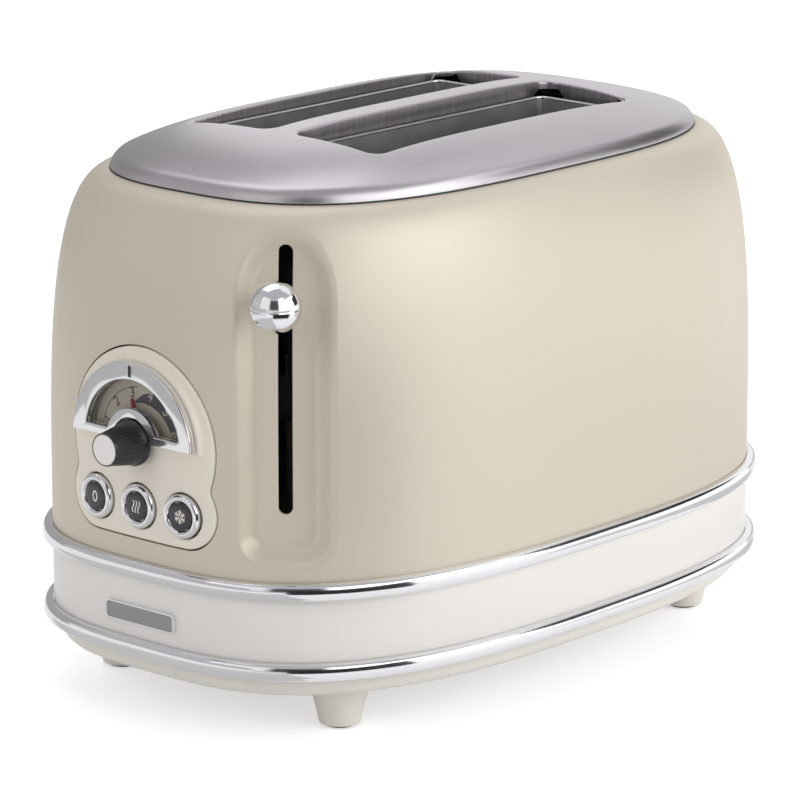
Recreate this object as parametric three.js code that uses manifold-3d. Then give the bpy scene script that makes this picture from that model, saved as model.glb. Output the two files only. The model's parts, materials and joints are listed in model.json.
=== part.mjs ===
// Two-slice toaster with a rounded enamelled body, a domed steel top and a chrome dial.
// Millimetres, +Z up. The control end faces -X, the long front side faces -Y,
// z is zero under the rubber foot pads.

import * as THREE from 'three';
import { mergeVertices } from 'three/addons/utils/BufferGeometryUtils.js';
import Module from 'manifold-3d';

const wasm = await Module();
wasm.setup();

// Driving dimensions

const gap = 0.3;                 // clearance between pieces that touch
const overrun = 5;               // how far a cutter runs past what it cuts
const mirrorSides = [-1, 1];

// Body plan: |x / a|^endPower + |y / b|^sidePower = 1
const bodyLength = 283.2;
const bodyWidth = 183.2;
const bodyEndPower = 2.75;
const bodySidePower = 3.04;
const shoulderEndInset = 22.7;   // the top plate is this much smaller all round
const shoulderSideInset = 19.15;
const topEndPower = 3.15;
const topSidePower = 2.91;

// Levels
const padProud = 1;
const panFloorZ = 16.5;
const lowerBeadZ = 27;
const upperBeadZ = 55.8;
const shoulderStartZ = 71.9;
const shoulderTopZ = 186.9;
const shoulderRisePower = 3;
const shoulderFallPower = 2.41;

// Enamelled shell
const shellWall = 1.2;
const shellFlange = 8;
const channelDepth = 6.5;
const channelMouthWidth = 36;
const channelFloorWidth = 20;
const channelBottomZ = 63.5;
const channelTopDrop = 4.4;      // below the shoulder's top
const channelTopReach = 26;      // height of the mouth's elliptical top end
const channelFootCorner = 11.5;  // corners of its flat bottom end
const channelAngle = THREE.MathUtils.degToRad(38.9);   // from -X toward -Y
const channelEndMargin = 13.6;   // from the plan's end and side to the mouth's middle
const channelSideMargin = 35.4;
const leverSlotWidth = 5;
const leverSlotRise = 18.2;      // above the channel's bottom
const leverSlotDrop = 7.3;       // below the channel's top

// Domed steel top
const topSheet = 1;
const domeRise = 15.3;
const domeRollRise = 3.5;        // the part of it that the rolled rim takes
const domeRollShare = 0.035;     // the rolled rim's width, as a share of the plan
const domeRimPower = 3.58;
const domeCrownPower = 1.15;
const breadSlotLength = 141;
const breadSlotWidth = 39.9;
const breadSlotX = 1.5;
const breadSlotY = 25.45;
const breadSlotCorner = 5.5;
const lipDepth = 9;
const lipReliefInsetShare = 0.3;      // of the slot's corner, like the next
const lipReliefRadiusShare = 0.62;
const lipReliefHeightShare = 0.45;   // of the lip's depth

// White band, chrome beads and base pan
const bandWall = 2.2;
const beadProud = 3.4;
const beadHeight = 6.5;
const beadArcDegrees = [-90, -50, 0, 50, 90];
const panWall = 2;
const panTopInset = 1.2;
const panSideHeight = 7.4;
const panSideInset = 2.2;
const panTurnHeight = 0.8;
const panTurnInset = 3.6;
const panFlatInset = 6.2;
const ventLength = 34;
const ventWidth = 4;
const ventPitch = 12;
const ventCount = 7;

// Feet
const footEndMargin = 44.1;
const footSideMargin = 37.9;
const footBottomRadius = 7.35;
const footTopRadius = 10;
const padRadius = 5.2;
const padThickness = 2.7;

// Control panel
const axisZ = 102.4;             // dial, knob and potentiometer
const panelProud = 0.6;          // its face follows the body's curve this far outside it
const panelLobeZ = 101.6;
const panelLobeRadius = 34;
const panelCornerRadius = 13;
const panelHalfWidth = 34.5;
const panelBottomZ = 67.1;
const panelWaistRadius = 6;
const panelFlange = 1.5;         // thickness of the flange behind the shell
const panelFlangeMargin = 3;
const panelHoleDepth = 20;
const dialSeatProud = 0.3;       // flat seat of the dial, outside the curved face
const dialSeatMargin = 1.4;      // round the bezel
const dialSeatSkin = 1.2;
const dialSeatDepth = 3;
const bezelHeight = 3;
const bezelRadius = 28.5;
const bezelOpeningRadius = 22.5;
const bezelBar = 3;
const bezelBarRise = 3.7;        // top of the bar above the dial's axis
const bezelEdge = 0.7;
const hubOuterRadius = 12.1;
const hubInnerRadius = 8.9;
const windowThickness = 1;
const windowDepth = 1;
const dialPlateRadius = 24;
const dialPlateThickness = 1;
const pointerThickness = 0.6;
const pointerDiscRadius = 8.2;
const pointerDiscClearance = 0.6;
const pointerReach = 15;
const pointerWidth = 1.4;
const pointerRestAngle = THREE.MathUtils.degToRad(15.5);   // from +Z toward +Y

// Knob
const knobBaseRadius = 8.3;
const knobTipRadius = 5.8;
const knobLength = 14.7;
const knobStandOff = 1.7;        // from the dial's seat
const knobSkirt = 1.2;
const knobFlutes = 12;
const knobFluteDepth = 0.25;
const knobCapRadius = 5;
const knobCapThickness = 1;
const knobBoreDepth = 9;
const shaftRadius = 3;
const shaftClearance = 1;        // where it passes the seat's skin

// Push buttons
const buttonZ = 79;
const buttonPitch = 20.6;
const buttonRadius = 7.9;
const buttonProud = 1.9;
const sideButtonSetback = 0.55;  // the outer two follow the panel's curve
const buttonCollar = 1.6;
const buttonInsertRadius = 5.1;
const buttonInsertThickness = 1.2;
const buttonInsertSunk = 0.4;
const buttonStemRadius = 2.4;
const buttonTravel = 1.2;
const buttonHoleClearance = 0.4;

// Control board
const boardThickness = 1.6;
const boardDepth = 10.7;         // from the panel's back to the board
const boardHalfWidth = 29;
const boardBottomZ = 69;
const boardTopZ = 129;
const boardPostRadius = 2.2;
const boardPostLowZ = 74;
const boardPostCircle = 27.2;    // upper posts, about the dial's axis
const boardPostAngle = THREE.MathUtils.degToRad(60);
const switchSize = 6;
const potRadius = 8;
const potDepth = 7;

// Lever
const ballRadius = 9.05;
const leverOut = 16.2;           // ball centre from the channel's floor along the arm
const leverAngle = THREE.MathUtils.degToRad(30);       // from -X toward -Y
const armThickness = 2;
const armHeight = 5;
const ballPocketDepth = 1.2;
const leverUp = 13.5;
const leverSlotSpare = 1.9;      // left above the arm at its highest
const leverSlotRest = 6;         // left below the arm at its lowest

// Chassis
const sheet = 1.2;
const chassisTopDrop = 0.3;
const chassisTopInset = 4.4;
const chassisOpeningLength = 126;
const chassisOpeningWidth = 33;
const chassisOpeningCorner = 3;
const chassisRim = 10.5;
const frontBay = 49.6;           // from the plan's front end to the front plate
const rearBay = 48.1;
const endPlateSideMargin = 32.6;
const trayWindowHalfWidth = 52;
const trayWindowTopZ = 44;
const lifterSlotWidth = 4;
const lifterSlotClearance = 0.9;   // above and below the lifter's travel
const reflectorSideMargin = 3;
const reflectorBottomZ = 46;

// Heating elements
const elementY = 47.5;
const elementThickness = 1.5;
const elementBottomZ = 50;
const elementTopDrop = 5.9;
const elementNotches = 6;
const elementNotchDepth = 2;
const notchStartShare = 0.35;
const notchWidthShare = 0.3;

// Bread guides
const guideOffset = 14;
const guideWire = 1;
const guideBottomZ = 50;
const guideTopDrop = 7.9;
const guideWires = 6;
const guideMargin = 10;

// Lift carriage
const rodAhead = 11.5;           // of the front plate
const rodY = -20;
const rodRadius = 3;
const rodClearance = 0.3;
const sleeveWall = 1.7;
const sleeveHeight = 44;
const carriageSheet = 1.5;
const carriageAhead = 6;
const sliceDepth = 72.9;         // from the shoulder's top to where a slice stands
const lifterWebHeight = 8;
const lifterWebThickness = 1.5;
const lifterTabReach = 8;
const lifterTabLength = 6;
const lifterTabs = 6;
const lifterTabPitch = 21;
const lifterTabSheet = 1.2;
const tongueWidth = 14;
const tongueCorner = 3.5;
const carriageBarHeight = 16;
const springY = 6;
const springRadius = 4;
const springWire = 0.5;
const springTurns = 8;
const shelfHalfWidth = 7;
const keeperSize = 12;
const keeperThickness = 2;
const magnetSize = 14;
const magnetGroove = 2.8;

// Crumb tray
const trayZ = 31.8;
const traySheet = 1;
const trayHeight = 4;
const trayHalfWidth = 46;
const trayFrontMargin = 4;       // behind the front plate
const trayRearMargin = 11.1;
const trayRibY = 36;
const trayRibThickness = 3;
const trayDoorHalfWidth = 50.5;
const trayDoorBottomZ = 31.6;
const trayDoorTopZ = 50;
const trayGripHalfWidth = 18;
const trayGripHeight = 6;
const trayGripProud = 3;

// Badge place and cord gland
const badgeLength = 33;
const badgeHeight = 6.8;
const badgeCorner = 2;
const badgeZ = 39;
const badgeProud = 1.3;
const glandEndMargin = 23.6;
const glandFlangeRadius = 8;
const glandFlange = 1.3;
const glandNeckRadius = 5.5;
const glandBoreRadius = 3.6;
const glandRise = 6;

// Facet counts and shares
const planSteps = 40;
const planBisections = 40;
const channelSteps = 8;
const channelSpreadShare = 1.1;  // of the channel's mouth that the finer steps cover
const channelEdgeAngle = 0.02;   // bare stretch beside them, in radians
const roundSteps = 18;
const ballSteps = 18;
const ringSteps = 36;
const rodSteps = 16;
const postSteps = 10;
const arcSteps = 7;              // half the steps of an arc
const edgeArcSteps = 4;
const cornerSteps = 2;
const roundEndShare = 0.98;      // of a slot's round end, so that no edge has no length

// Derived sizes

const bodyHalfLength = bodyLength / 2;
const bodyHalfWidth = bodyWidth / 2;
const topHalfLength = bodyHalfLength - shoulderEndInset;
const topHalfWidth = bodyHalfWidth - shoulderSideInset;
const shellBottomZ = upperBeadZ + gap / 2;
const topRimZ = shoulderTopZ + gap;
const flangeUndersideZ = shoulderTopZ - shellWall;
const chassisTopZ = flangeUndersideZ - chassisTopDrop;
const chassisUndersideZ = chassisTopZ - sheet;
const panInnerZ = panFloorZ + panWall;
const standZ = panInnerZ + gap;                 // what stands on the pan's floor
const hangZ = chassisUndersideZ - gap;          // what hangs from the chassis top
const channelX = channelEndMargin - bodyHalfLength;
const channelY = channelSideMargin - bodyHalfWidth;
const channelTopZ = shoulderTopZ - channelTopDrop;
const leverSlotBottomZ = channelBottomZ + leverSlotRise;
const leverSlotTopZ = channelTopZ - leverSlotDrop;
const leverZ = leverSlotTopZ - leverSlotSpare - armHeight / 2 - leverUp;
const leverDown = leverZ - armHeight / 2 - leverSlotRest - leverSlotBottomZ;
const footX = bodyHalfLength - footEndMargin;
const footY = bodyHalfWidth - footSideMargin;
const frontPlateX = frontBay - bodyHalfLength;
const rearPlateX = bodyHalfLength - rearBay;
const endPlateHalfWidth = bodyHalfWidth - endPlateSideMargin;
const reflectorY = endPlateHalfWidth - reflectorSideMargin;
const elementTopZ = hangZ - elementTopDrop;
const guideTopZ = hangZ - guideTopDrop;
const rodX = frontPlateX - rodAhead;
const carriageX = frontPlateX - carriageAhead;
const lifterZ = shoulderTopZ - sliceDepth;
const trayFrontX = frontPlateX + trayFrontMargin;
const trayRearX = bodyHalfLength - trayRearMargin;
const glandX = bodyHalfLength - glandEndMargin;
const panelFaceX = -bodyHalfLength - panelProud;       // where the curved face reaches furthest
const panelBackX = -bodyHalfLength + shellWall + gap + panelFlange;
const dialSeatX = panelFaceX - dialSeatProud;
const dialRecessX = dialSeatX + dialSeatSkin;
const bezelBackX = dialSeatX - gap;
const bezelFrontX = bezelBackX - bezelHeight;
const knobBaseX = dialSeatX - knobStandOff;
const knobTipX = knobBaseX - knobLength;
const boardX = panelBackX + boardDepth;
const frontReach = -knobTipX;
const rearReach = bodyHalfLength + beadProud;
const originShift = (frontReach - rearReach) / 2;
const channelOut = new THREE.Vector2(-Math.cos(channelAngle), -Math.sin(channelAngle));
const channelAlong = new THREE.Vector2(Math.sin(channelAngle), -Math.cos(channelAngle));
const leverDirection = new THREE.Vector2(-Math.cos(leverAngle), -Math.sin(leverAngle));

// How far the shoulder has turned in at a height, from 0 at the side to 1 at the top plate
function shoulderShare(z) {
  const rise = THREE.MathUtils.clamp((z - shoulderStartZ) / (shoulderTopZ - shoulderStartZ), 0, 1);
  return 1 - Math.pow(1 - Math.pow(rise, shoulderRisePower), 1 / shoulderFallPower);
}

function insetAt(z) {
  return shoulderEndInset * shoulderShare(z);
}

// Working with solids

function solid(geometry) {
  const bare = geometry.index ? geometry.toNonIndexed() : geometry.clone();
  bare.deleteAttribute('normal');
  bare.deleteAttribute('uv');
  const merged = mergeVertices(bare);
  return new wasm.Manifold(new wasm.Mesh({
    numProp: 3,
    vertProperties: new Float32Array(merged.attributes.position.array),
    triVerts: new Uint32Array(merged.index.array),
  }));
}

function geometryOf(manifold) {
  const { vertProperties, triVerts, numProp } = manifold.getMesh();
  const positions = [];
  for (let i = 0; i < vertProperties.length; i += numProp) {
    positions.push(vertProperties[i], vertProperties[i + 1], vertProperties[i + 2]);
  }
  const geometry = new THREE.BufferGeometry();
  geometry.setAttribute('position', new THREE.Float32BufferAttribute(positions, 3));
  geometry.setIndex(Array.from(triVerts));
  geometry.computeVertexNormals();
  return geometry;
}

function joined(pieces) {
  return pieces.reduce((sum, piece) => sum.add(piece));
}

// Extrudes a flat shape between two levels of an axis.
// On X the shape lies in (y, z), on Y in (x, z), on Z in (x, y).
function prism(shape, axis, from, to, curveSegments = arcSteps) {
  const depth = to - from;
  const geometry = new THREE.ExtrudeGeometry(shape, { depth, bevelEnabled: false, curveSegments });
  const basis = new THREE.Matrix4();
  if (axis === 'X') {
    basis.set(0, 0, 1, from, 1, 0, 0, 0, 0, 1, 0, 0, 0, 0, 0, 1);
  } else if (axis === 'Y') {
    basis.set(1, 0, 0, 0, 0, 0, -1, to, 0, 1, 0, 0, 0, 0, 0, 1);
  } else {
    basis.makeTranslation(0, 0, from);
  }
  return solid(geometry.applyMatrix4(basis));
}

function box(x0, x1, y0, y1, z0, z1) {
  const geometry = new THREE.BoxGeometry(x1 - x0, y1 - y0, z1 - z0);
  geometry.translate((x0 + x1) / 2, (y0 + y1) / 2, (z0 + z1) / 2);
  return solid(geometry);
}

// Revolves [radius, height] points about Z, then turns Z onto the wanted axis
function turned(profile, axis = 'Z', steps = roundSteps) {
  const points = profile.map(([radius, height]) => new THREE.Vector2(radius, height));
  if (THREE.ShapeUtils.area(points) < 0) {
    points.reverse();
  }
  const geometry = new THREE.LatheGeometry(points, steps);
  geometry.rotateX(Math.PI / 2);
  if (axis === 'X') geometry.rotateY(Math.PI / 2);
  return solid(geometry);
}

function rod(radius, axis, from, to, steps = roundSteps) {
  return turned([[0, from], [radius, from], [radius, to], [0, to]], axis, steps);
}

function tube(outer, inner, axis, from, to, steps = roundSteps) {
  return turned([[inner, from], [outer, from], [outer, to], [inner, to], [inner, from]], axis, steps);
}

function roundedRect(x0, x1, y0, y1, radius) {
  const shape = new THREE.Shape();
  shape.absarc(x1 - radius, y0 + radius, radius, -Math.PI / 2, 0);
  shape.absarc(x1 - radius, y1 - radius, radius, 0, Math.PI / 2);
  shape.absarc(x0 + radius, y1 - radius, radius, Math.PI / 2, Math.PI);
  shape.absarc(x0 + radius, y0 + radius, radius, Math.PI, 1.5 * Math.PI);
  shape.closePath();
  return shape;
}

// The point of a superellipse in a given direction
function planPoint(a, b, endPower, sidePower, angle) {
  const dx = Math.cos(angle);
  const dy = Math.sin(angle);
  let low = 0;
  let high = a + b;
  for (let i = 0; i < planBisections; i += 1) {
    const middle = (low + high) / 2;
    const level = Math.abs(middle * dx / a) ** endPower + Math.abs(middle * dy / b) ** sidePower;
    if (level < 1) {
      low = middle;
    } else {
      high = middle;
    }
  }
  return new THREE.Vector2(low * dx, low * dy);
}

// Even steps round the plan, stretched to its proportions
function planAngles(count) {
  return Array.from({ length: count }, (unused, i) => {
    const turn = 2 * Math.PI * i / count;
    return Math.atan2(bodyHalfWidth * Math.sin(turn), bodyHalfLength * Math.cos(turn));
  });
}

// The same steps with finer ones across the lever channel
function shellAngles() {
  const across = Array.from({ length: channelSteps + 1 }, (unused, i) => {
    const s = channelMouthWidth * channelSpreadShare * (i / channelSteps - 0.5);
    const point = new THREE.Vector2(channelX, channelY).addScaledVector(channelAlong, s);
    return Math.atan2(point.y, point.x);
  });
  const low = Math.min(...across);
  const high = Math.max(...across);
  const others = planAngles(planSteps).filter(
    (angle) => angle < low - channelEdgeAngle || angle > high + channelEdgeAngle);
  return [...others, ...across].sort((first, second) => first - second);
}

// A closed solid through rings of equal point counts, capped at both ends
function lofted(rings) {
  const count = rings[0].length;
  const positions = rings.flat().flatMap((p) => [p.x, p.y, p.z]);
  const triangles = [];
  for (let level = 0; level < rings.length - 1; level += 1) {
    for (let i = 0; i < count; i += 1) {
      const here = level * count + i;
      const next = level * count + (i + 1) % count;
      triangles.push(here, next, next + count, here, next + count, here + count);
    }
  }
  for (const [ring, flip] of [[0, true], [rings.length - 1, false]]) {
    const centre = positions.length / 3;
    const middle = new THREE.Vector3();
    rings[ring].forEach((p) => middle.addScaledVector(p, 1 / count));
    positions.push(middle.x, middle.y, middle.z);
    for (let i = 0; i < count; i += 1) {
      const here = ring * count + i;
      const next = ring * count + (i + 1) % count;
      triangles.push(centre, flip ? next : here, flip ? here : next);
    }
  }
  const geometry = new THREE.BufferGeometry();
  geometry.setAttribute('position', new THREE.Float32BufferAttribute(positions, 3));
  geometry.setIndex(triangles);
  return solid(geometry);
}

// A ring of the plan, inset from the body's side, at a height
function planRing(inset, z, angles) {
  return angles.map((angle) => {
    const point = planPoint(
      bodyHalfLength - inset, bodyHalfWidth - inset, bodyEndPower, bodySidePower, angle);
    return new THREE.Vector3(point.x, point.y, z);
  });
}

// Shell, band, beads and pan share their angles, so that they meet facet by facet
function planSolid(levels) {
  const angles = shellAngles();
  return lofted(levels.map(([inset, z]) => planRing(inset, z, angles)));
}

// Enamelled shell

// Depth of the lever channel at a point of the shell: sloping walls all round, an
// elliptical top end and a flat bottom end with round corners
function channelDepthAt(point, z) {
  const across = (point.x - channelX) * channelAlong.x + (point.y - channelY) * channelAlong.y;
  const outward = point.x * channelOut.x + point.y * channelOut.y;
  if (outward < 0) return 0;
  const half = channelMouthWidth / 2;
  const above = Math.max(0, z - channelTopZ + channelTopReach) * half / channelTopReach;
  const below = Math.max(0, channelBottomZ + channelFootCorner - z);
  const beside = Math.max(0, Math.abs(across) - half + channelFootCorner);
  const inside = Math.min(
    half - Math.hypot(across, above), channelFootCorner - Math.hypot(beside, below));
  const share = THREE.MathUtils.smoothstep(inside, 0, half - channelFloorWidth / 2);
  return channelDepth * share;
}

// The body's outside grown by a distance, so a negative one gives the shell's inside
function bodyForm(grow, bottomZ) {
  const angles = shellAngles();
  const sideShares = [0.25, 0.45, 0.62, 0.75, 0.85, 0.92, 0.97, 1];
  const channelEndShares = [0.12, 0.24];
  const heights = [
    channelBottomZ,
    ...channelEndShares.map((share) => channelBottomZ + share * channelMouthWidth),
    ...sideShares.map((share) => shoulderStartZ + share * (shoulderTopZ - shoulderStartZ)),
  ];
  const levels = [...new Set(heights)].sort((first, second) => first - second);
  const ringAt = (z, ringZ) => {
    const share = shoulderShare(z);
    const a = THREE.MathUtils.lerp(bodyHalfLength, topHalfLength, share) + grow;
    const b = THREE.MathUtils.lerp(bodyHalfWidth, topHalfWidth, share) + grow;
    const endPower = THREE.MathUtils.lerp(bodyEndPower, topEndPower, share);
    const sidePower = THREE.MathUtils.lerp(bodySidePower, topSidePower, share);
    return angles.map((angle) => {
      const point = planPoint(a, b, endPower, sidePower, angle);
      point.addScaledVector(channelOut, -channelDepthAt(point, z));
      return new THREE.Vector3(point.x, point.y, ringZ);
    });
  };
  const growUp = (z) => z + grow * (z - shellBottomZ) / (shoulderTopZ - shellBottomZ);
  return lofted([ringAt(shellBottomZ, bottomZ), ...levels.map((z) => ringAt(z, growUp(z)))]);
}

function panelOutline(margin) {
  const lobe = { y: 0, z: panelLobeZ, r: panelLobeRadius - margin };
  const corner = {
    y: panelHalfWidth - panelCornerRadius,
    z: panelBottomZ + panelCornerRadius,
    r: panelCornerRadius - margin,
  };
  // The waist's circle touches the lobe's and the corner's from outside
  const waist = panelWaistRadius + margin;
  const lobeReach = lobe.r + waist;
  const between = new THREE.Vector2(corner.y - lobe.y, corner.z - lobe.z);
  const distance = between.length();
  const reach = (distance ** 2 + lobeReach ** 2 - (corner.r + waist) ** 2) / (2 * distance);
  const across = Math.sqrt(lobeReach ** 2 - reach ** 2);
  const unit = between.normalize();
  const waistY = lobe.y + unit.x * reach - unit.y * across;
  const waistZ = lobe.z + unit.y * reach + unit.x * across;
  const lobeStart = Math.atan2(waistZ - lobe.z, waistY - lobe.y);
  const cornerEnd = Math.atan2(waistZ - corner.z, waistY - corner.y);
  const shape = new THREE.Shape();
  shape.absarc(corner.y, corner.z, corner.r, -Math.PI / 2, cornerEnd);
  shape.absarc(waistY, waistZ, waist, cornerEnd + Math.PI, lobeStart + Math.PI, true);
  shape.absarc(lobe.y, lobe.z, lobe.r, lobeStart, Math.PI - lobeStart);
  shape.absarc(-waistY, waistZ, waist, -lobeStart, -cornerEnd, true);
  shape.absarc(-corner.y, corner.z, corner.r, Math.PI - cornerEnd, 1.5 * Math.PI);
  shape.closePath();
  return shape;
}

function leverSlotCutter() {
  const half = leverSlotWidth / 2;
  const outline = roundedRect(-half, half, leverSlotBottomZ, leverSlotTopZ, half * roundEndShare);
  const geometry = new THREE.ExtrudeGeometry(outline, {
    depth: channelMouthWidth, bevelEnabled: false, curveSegments: cornerSteps,
  });
  geometry.translate(0, 0, -channelMouthWidth / 2);
  const basis = new THREE.Matrix4().makeBasis(
    new THREE.Vector3(channelAlong.x, channelAlong.y, 0),
    new THREE.Vector3(0, 0, 1),
    new THREE.Vector3(channelOut.x, channelOut.y, 0));
  basis.setPosition(channelX, channelY, 0);
  return solid(geometry.applyMatrix4(basis));
}

function bodyShell() {
  const angles = planAngles(planSteps);
  const holeRing = (z) => angles.map((angle) => {
    const point = planPoint(
      topHalfLength - shellFlange, topHalfWidth - shellFlange, topEndPower, topSidePower, angle);
    return new THREE.Vector3(point.x, point.y, z);
  });
  const topHole = lofted([holeRing(flangeUndersideZ - overrun), holeRing(shoulderTopZ + overrun)]);
  const controlHole = prism(
    panelOutline(-gap), 'X', panelFaceX - overrun, panelFaceX + panelHoleDepth);
  return bodyForm(0, shellBottomZ)
    .subtract(bodyForm(-shellWall, shellBottomZ - overrun))
    .subtract(topHole)
    .subtract(controlHole)
    .subtract(leverSlotCutter());
}

// Domed steel top

function domeForm(inset) {
  const a = topHalfLength - inset;
  const b = topHalfWidth - inset;
  const riseShare = 1 - inset / domeRise;
  const angles = planAngles(planSteps);
  const rollShares = [0, 0.28, 0.6, 1];
  const crownShares = [0.93, 0.85, 0.7, 0.45, 0.2];
  const spreadShares = [...rollShares.map((share) => 1 - share * domeRollShare), ...crownShares];
  const blend = (topEndPower + topSidePower) / 2;
  return lofted(spreadShares.map((spread) => angles.map((angle) => {
    const level = spread ** blend;
    const point = planPoint(
      a * level ** (1 / topEndPower), b * level ** (1 / topSidePower),
      topEndPower, topSidePower, angle);
    const outOfRoll = Math.max(0, 1 - (1 - spread) / domeRollShare);
    const roll = domeRollRise * Math.sqrt(1 - outOfRoll ** 2);
    const crown = (domeRise - domeRollRise) * (1 - spread ** domeRimPower) ** (1 / domeCrownPower);
    return new THREE.Vector3(point.x, point.y, topRimZ + riseShare * (roll + crown));
  })));
}

function slotOutline(side, grow) {
  const halfLength = breadSlotLength / 2 + grow;
  const halfWidth = breadSlotWidth / 2 + grow;
  const y = side * breadSlotY;
  return roundedRect(
    breadSlotX - halfLength, breadSlotX + halfLength, y - halfWidth, y + halfWidth,
    breadSlotCorner + grow);
}

function topPlate() {
  const outside = domeForm(0);
  const highZ = topRimZ + domeRise + overrun;
  const lowZ = topRimZ + domeRise - lipDepth;
  const reliefInset = breadSlotCorner * lipReliefInsetShare;
  let plate = outside.subtract(domeForm(topSheet));
  for (const side of mirrorSides) {
    let lip = prism(slotOutline(side, topSheet), 'Z', lowZ, highZ, cornerSteps).intersect(outside);
    for (const end of mirrorSides) {
      for (const flank of mirrorSides) {
        const x = breadSlotX + end * (breadSlotLength / 2 - reliefInset);
        const y = side * breadSlotY + flank * (breadSlotWidth / 2 - reliefInset);
        const relief = rod(breadSlotCorner * lipReliefRadiusShare, 'Z', lowZ - overrun,
          lowZ + lipDepth * lipReliefHeightShare, postSteps);
        lip = lip.subtract(relief.translate([x, y, 0]));
      }
    }
    plate = plate.add(lip).subtract(
      prism(slotOutline(side, 0), 'Z', lowZ - overrun, highZ, cornerSteps));
  }
  return plate;
}

// White band, beads, pan and feet

function bandForm(grow) {
  return planSolid([[-grow, lowerBeadZ + gap / 2], [-grow, upperBeadZ - gap / 2]]);
}

function trayDoorForm(clearance) {
  return box(
    bodyHalfLength / 2, bodyHalfLength + overrun,
    -trayDoorHalfWidth - clearance, trayDoorHalfWidth + clearance,
    trayDoorBottomZ - clearance, trayDoorTopZ + clearance);
}

function bandInside() {
  return planSolid([
    [bandWall, lowerBeadZ - overrun], [bandWall, upperBeadZ + overrun]]);
}

function baseBand() {
  return bandForm(0).subtract(bandInside()).subtract(trayDoorForm(gap));
}

function trayDoor() {
  const cover = bandForm(0).subtract(bandInside()).intersect(trayDoorForm(0));
  const gripMiddleZ = (trayDoorBottomZ + trayDoorTopZ) / 2;
  const grip = bandForm(trayGripProud).subtract(bandForm(-gap)).intersect(box(
    bodyHalfLength / 2, bodyHalfLength + beadProud, -trayGripHalfWidth, trayGripHalfWidth,
    gripMiddleZ - trayGripHeight / 2, gripMiddleZ + trayGripHeight / 2));
  return cover.add(grip);
}

function bead(z) {
  const angles = shellAngles();
  const halfHeight = beadHeight / 2;
  const arc = beadArcDegrees.map(THREE.MathUtils.degToRad);
  const outer = arc.map((turn) => planRing(
    -gap - (beadProud - gap) * Math.cos(turn), z + halfHeight * Math.sin(turn), angles));
  const hollow = planSolid([[-gap, z - beadHeight], [-gap, z + beadHeight]]);
  return lofted(outer).subtract(hollow);
}

function basePan() {
  const topZ = lowerBeadZ - gap / 2;
  const sideZ = topZ - panSideHeight;
  const turnZ = panFloorZ + panTurnHeight;
  const outside = planSolid([
    [panFlatInset, panFloorZ], [panTurnInset, turnZ], [panSideInset, sideZ], [panTopInset, topZ]]);
  const inside = planSolid([
    [panTurnInset + panWall, panInnerZ], [panSideInset + panWall, sideZ],
    [panTopInset + panWall, topZ + overrun]]);
  let pan = outside.subtract(inside);
  for (const side of mirrorSides) {
    const y = side * trayRibY;
    pan = pan.add(box(
      trayFrontX, trayRearX - trayRibThickness, y - trayRibThickness / 2, y + trayRibThickness / 2,
      panInnerZ - panWall / 2, trayZ - gap));
  }
  for (let i = 0; i < ventCount; i += 1) {
    const x = (i - (ventCount - 1) / 2) * ventPitch;
    pan = pan.subtract(prism(
      roundedRect(x - ventWidth / 2, x + ventWidth / 2, -ventLength / 2, ventLength / 2,
        ventWidth / 2 * roundEndShare),
      'Z', panFloorZ - overrun, panInnerZ + overrun / 2, 1));
  }
  const glandHole = rod(glandNeckRadius + gap, 'Z', panFloorZ - overrun, panInnerZ + overrun);
  return pan.subtract(glandHole.translate([glandX, 0, 0]));
}

function foot() {
  const topZ = panFloorZ - gap;
  const recessZ = padThickness + gap;
  return turned([
    [0, recessZ], [padRadius + gap, recessZ], [padRadius + gap, padProud],
    [footBottomRadius, padProud], [footTopRadius, topZ], [0, topZ]]);
}

function cordGland() {
  const flangeTopZ = panFloorZ - gap;
  return turned([
    [glandBoreRadius, flangeTopZ - glandFlange], [glandFlangeRadius, flangeTopZ - glandFlange],
    [glandFlangeRadius, flangeTopZ], [glandNeckRadius, flangeTopZ],
    [glandNeckRadius, flangeTopZ + glandRise], [glandBoreRadius, flangeTopZ + glandRise],
    [glandBoreRadius, flangeTopZ - glandFlange]]).translate([glandX, 0, 0]);
}

function badgePlate() {
  const outline = roundedRect(
    -badgeLength / 2, badgeLength / 2, badgeZ - badgeHeight / 2, badgeZ + badgeHeight / 2,
    badgeCorner);
  return prism(outline, 'X', -bodyHalfLength - badgeProud, -bodyHalfLength / 2, edgeArcSteps)
    .subtract(bandForm(gap));
}

// Control panel

// What lies above a level that is counted from the dial's axis
function aboveAxis(form, rise) {
  return form.intersect(box(
    bezelFrontX - overrun, boardX, -panelHalfWidth, panelHalfWidth, rise, panelHalfWidth));
}

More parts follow.
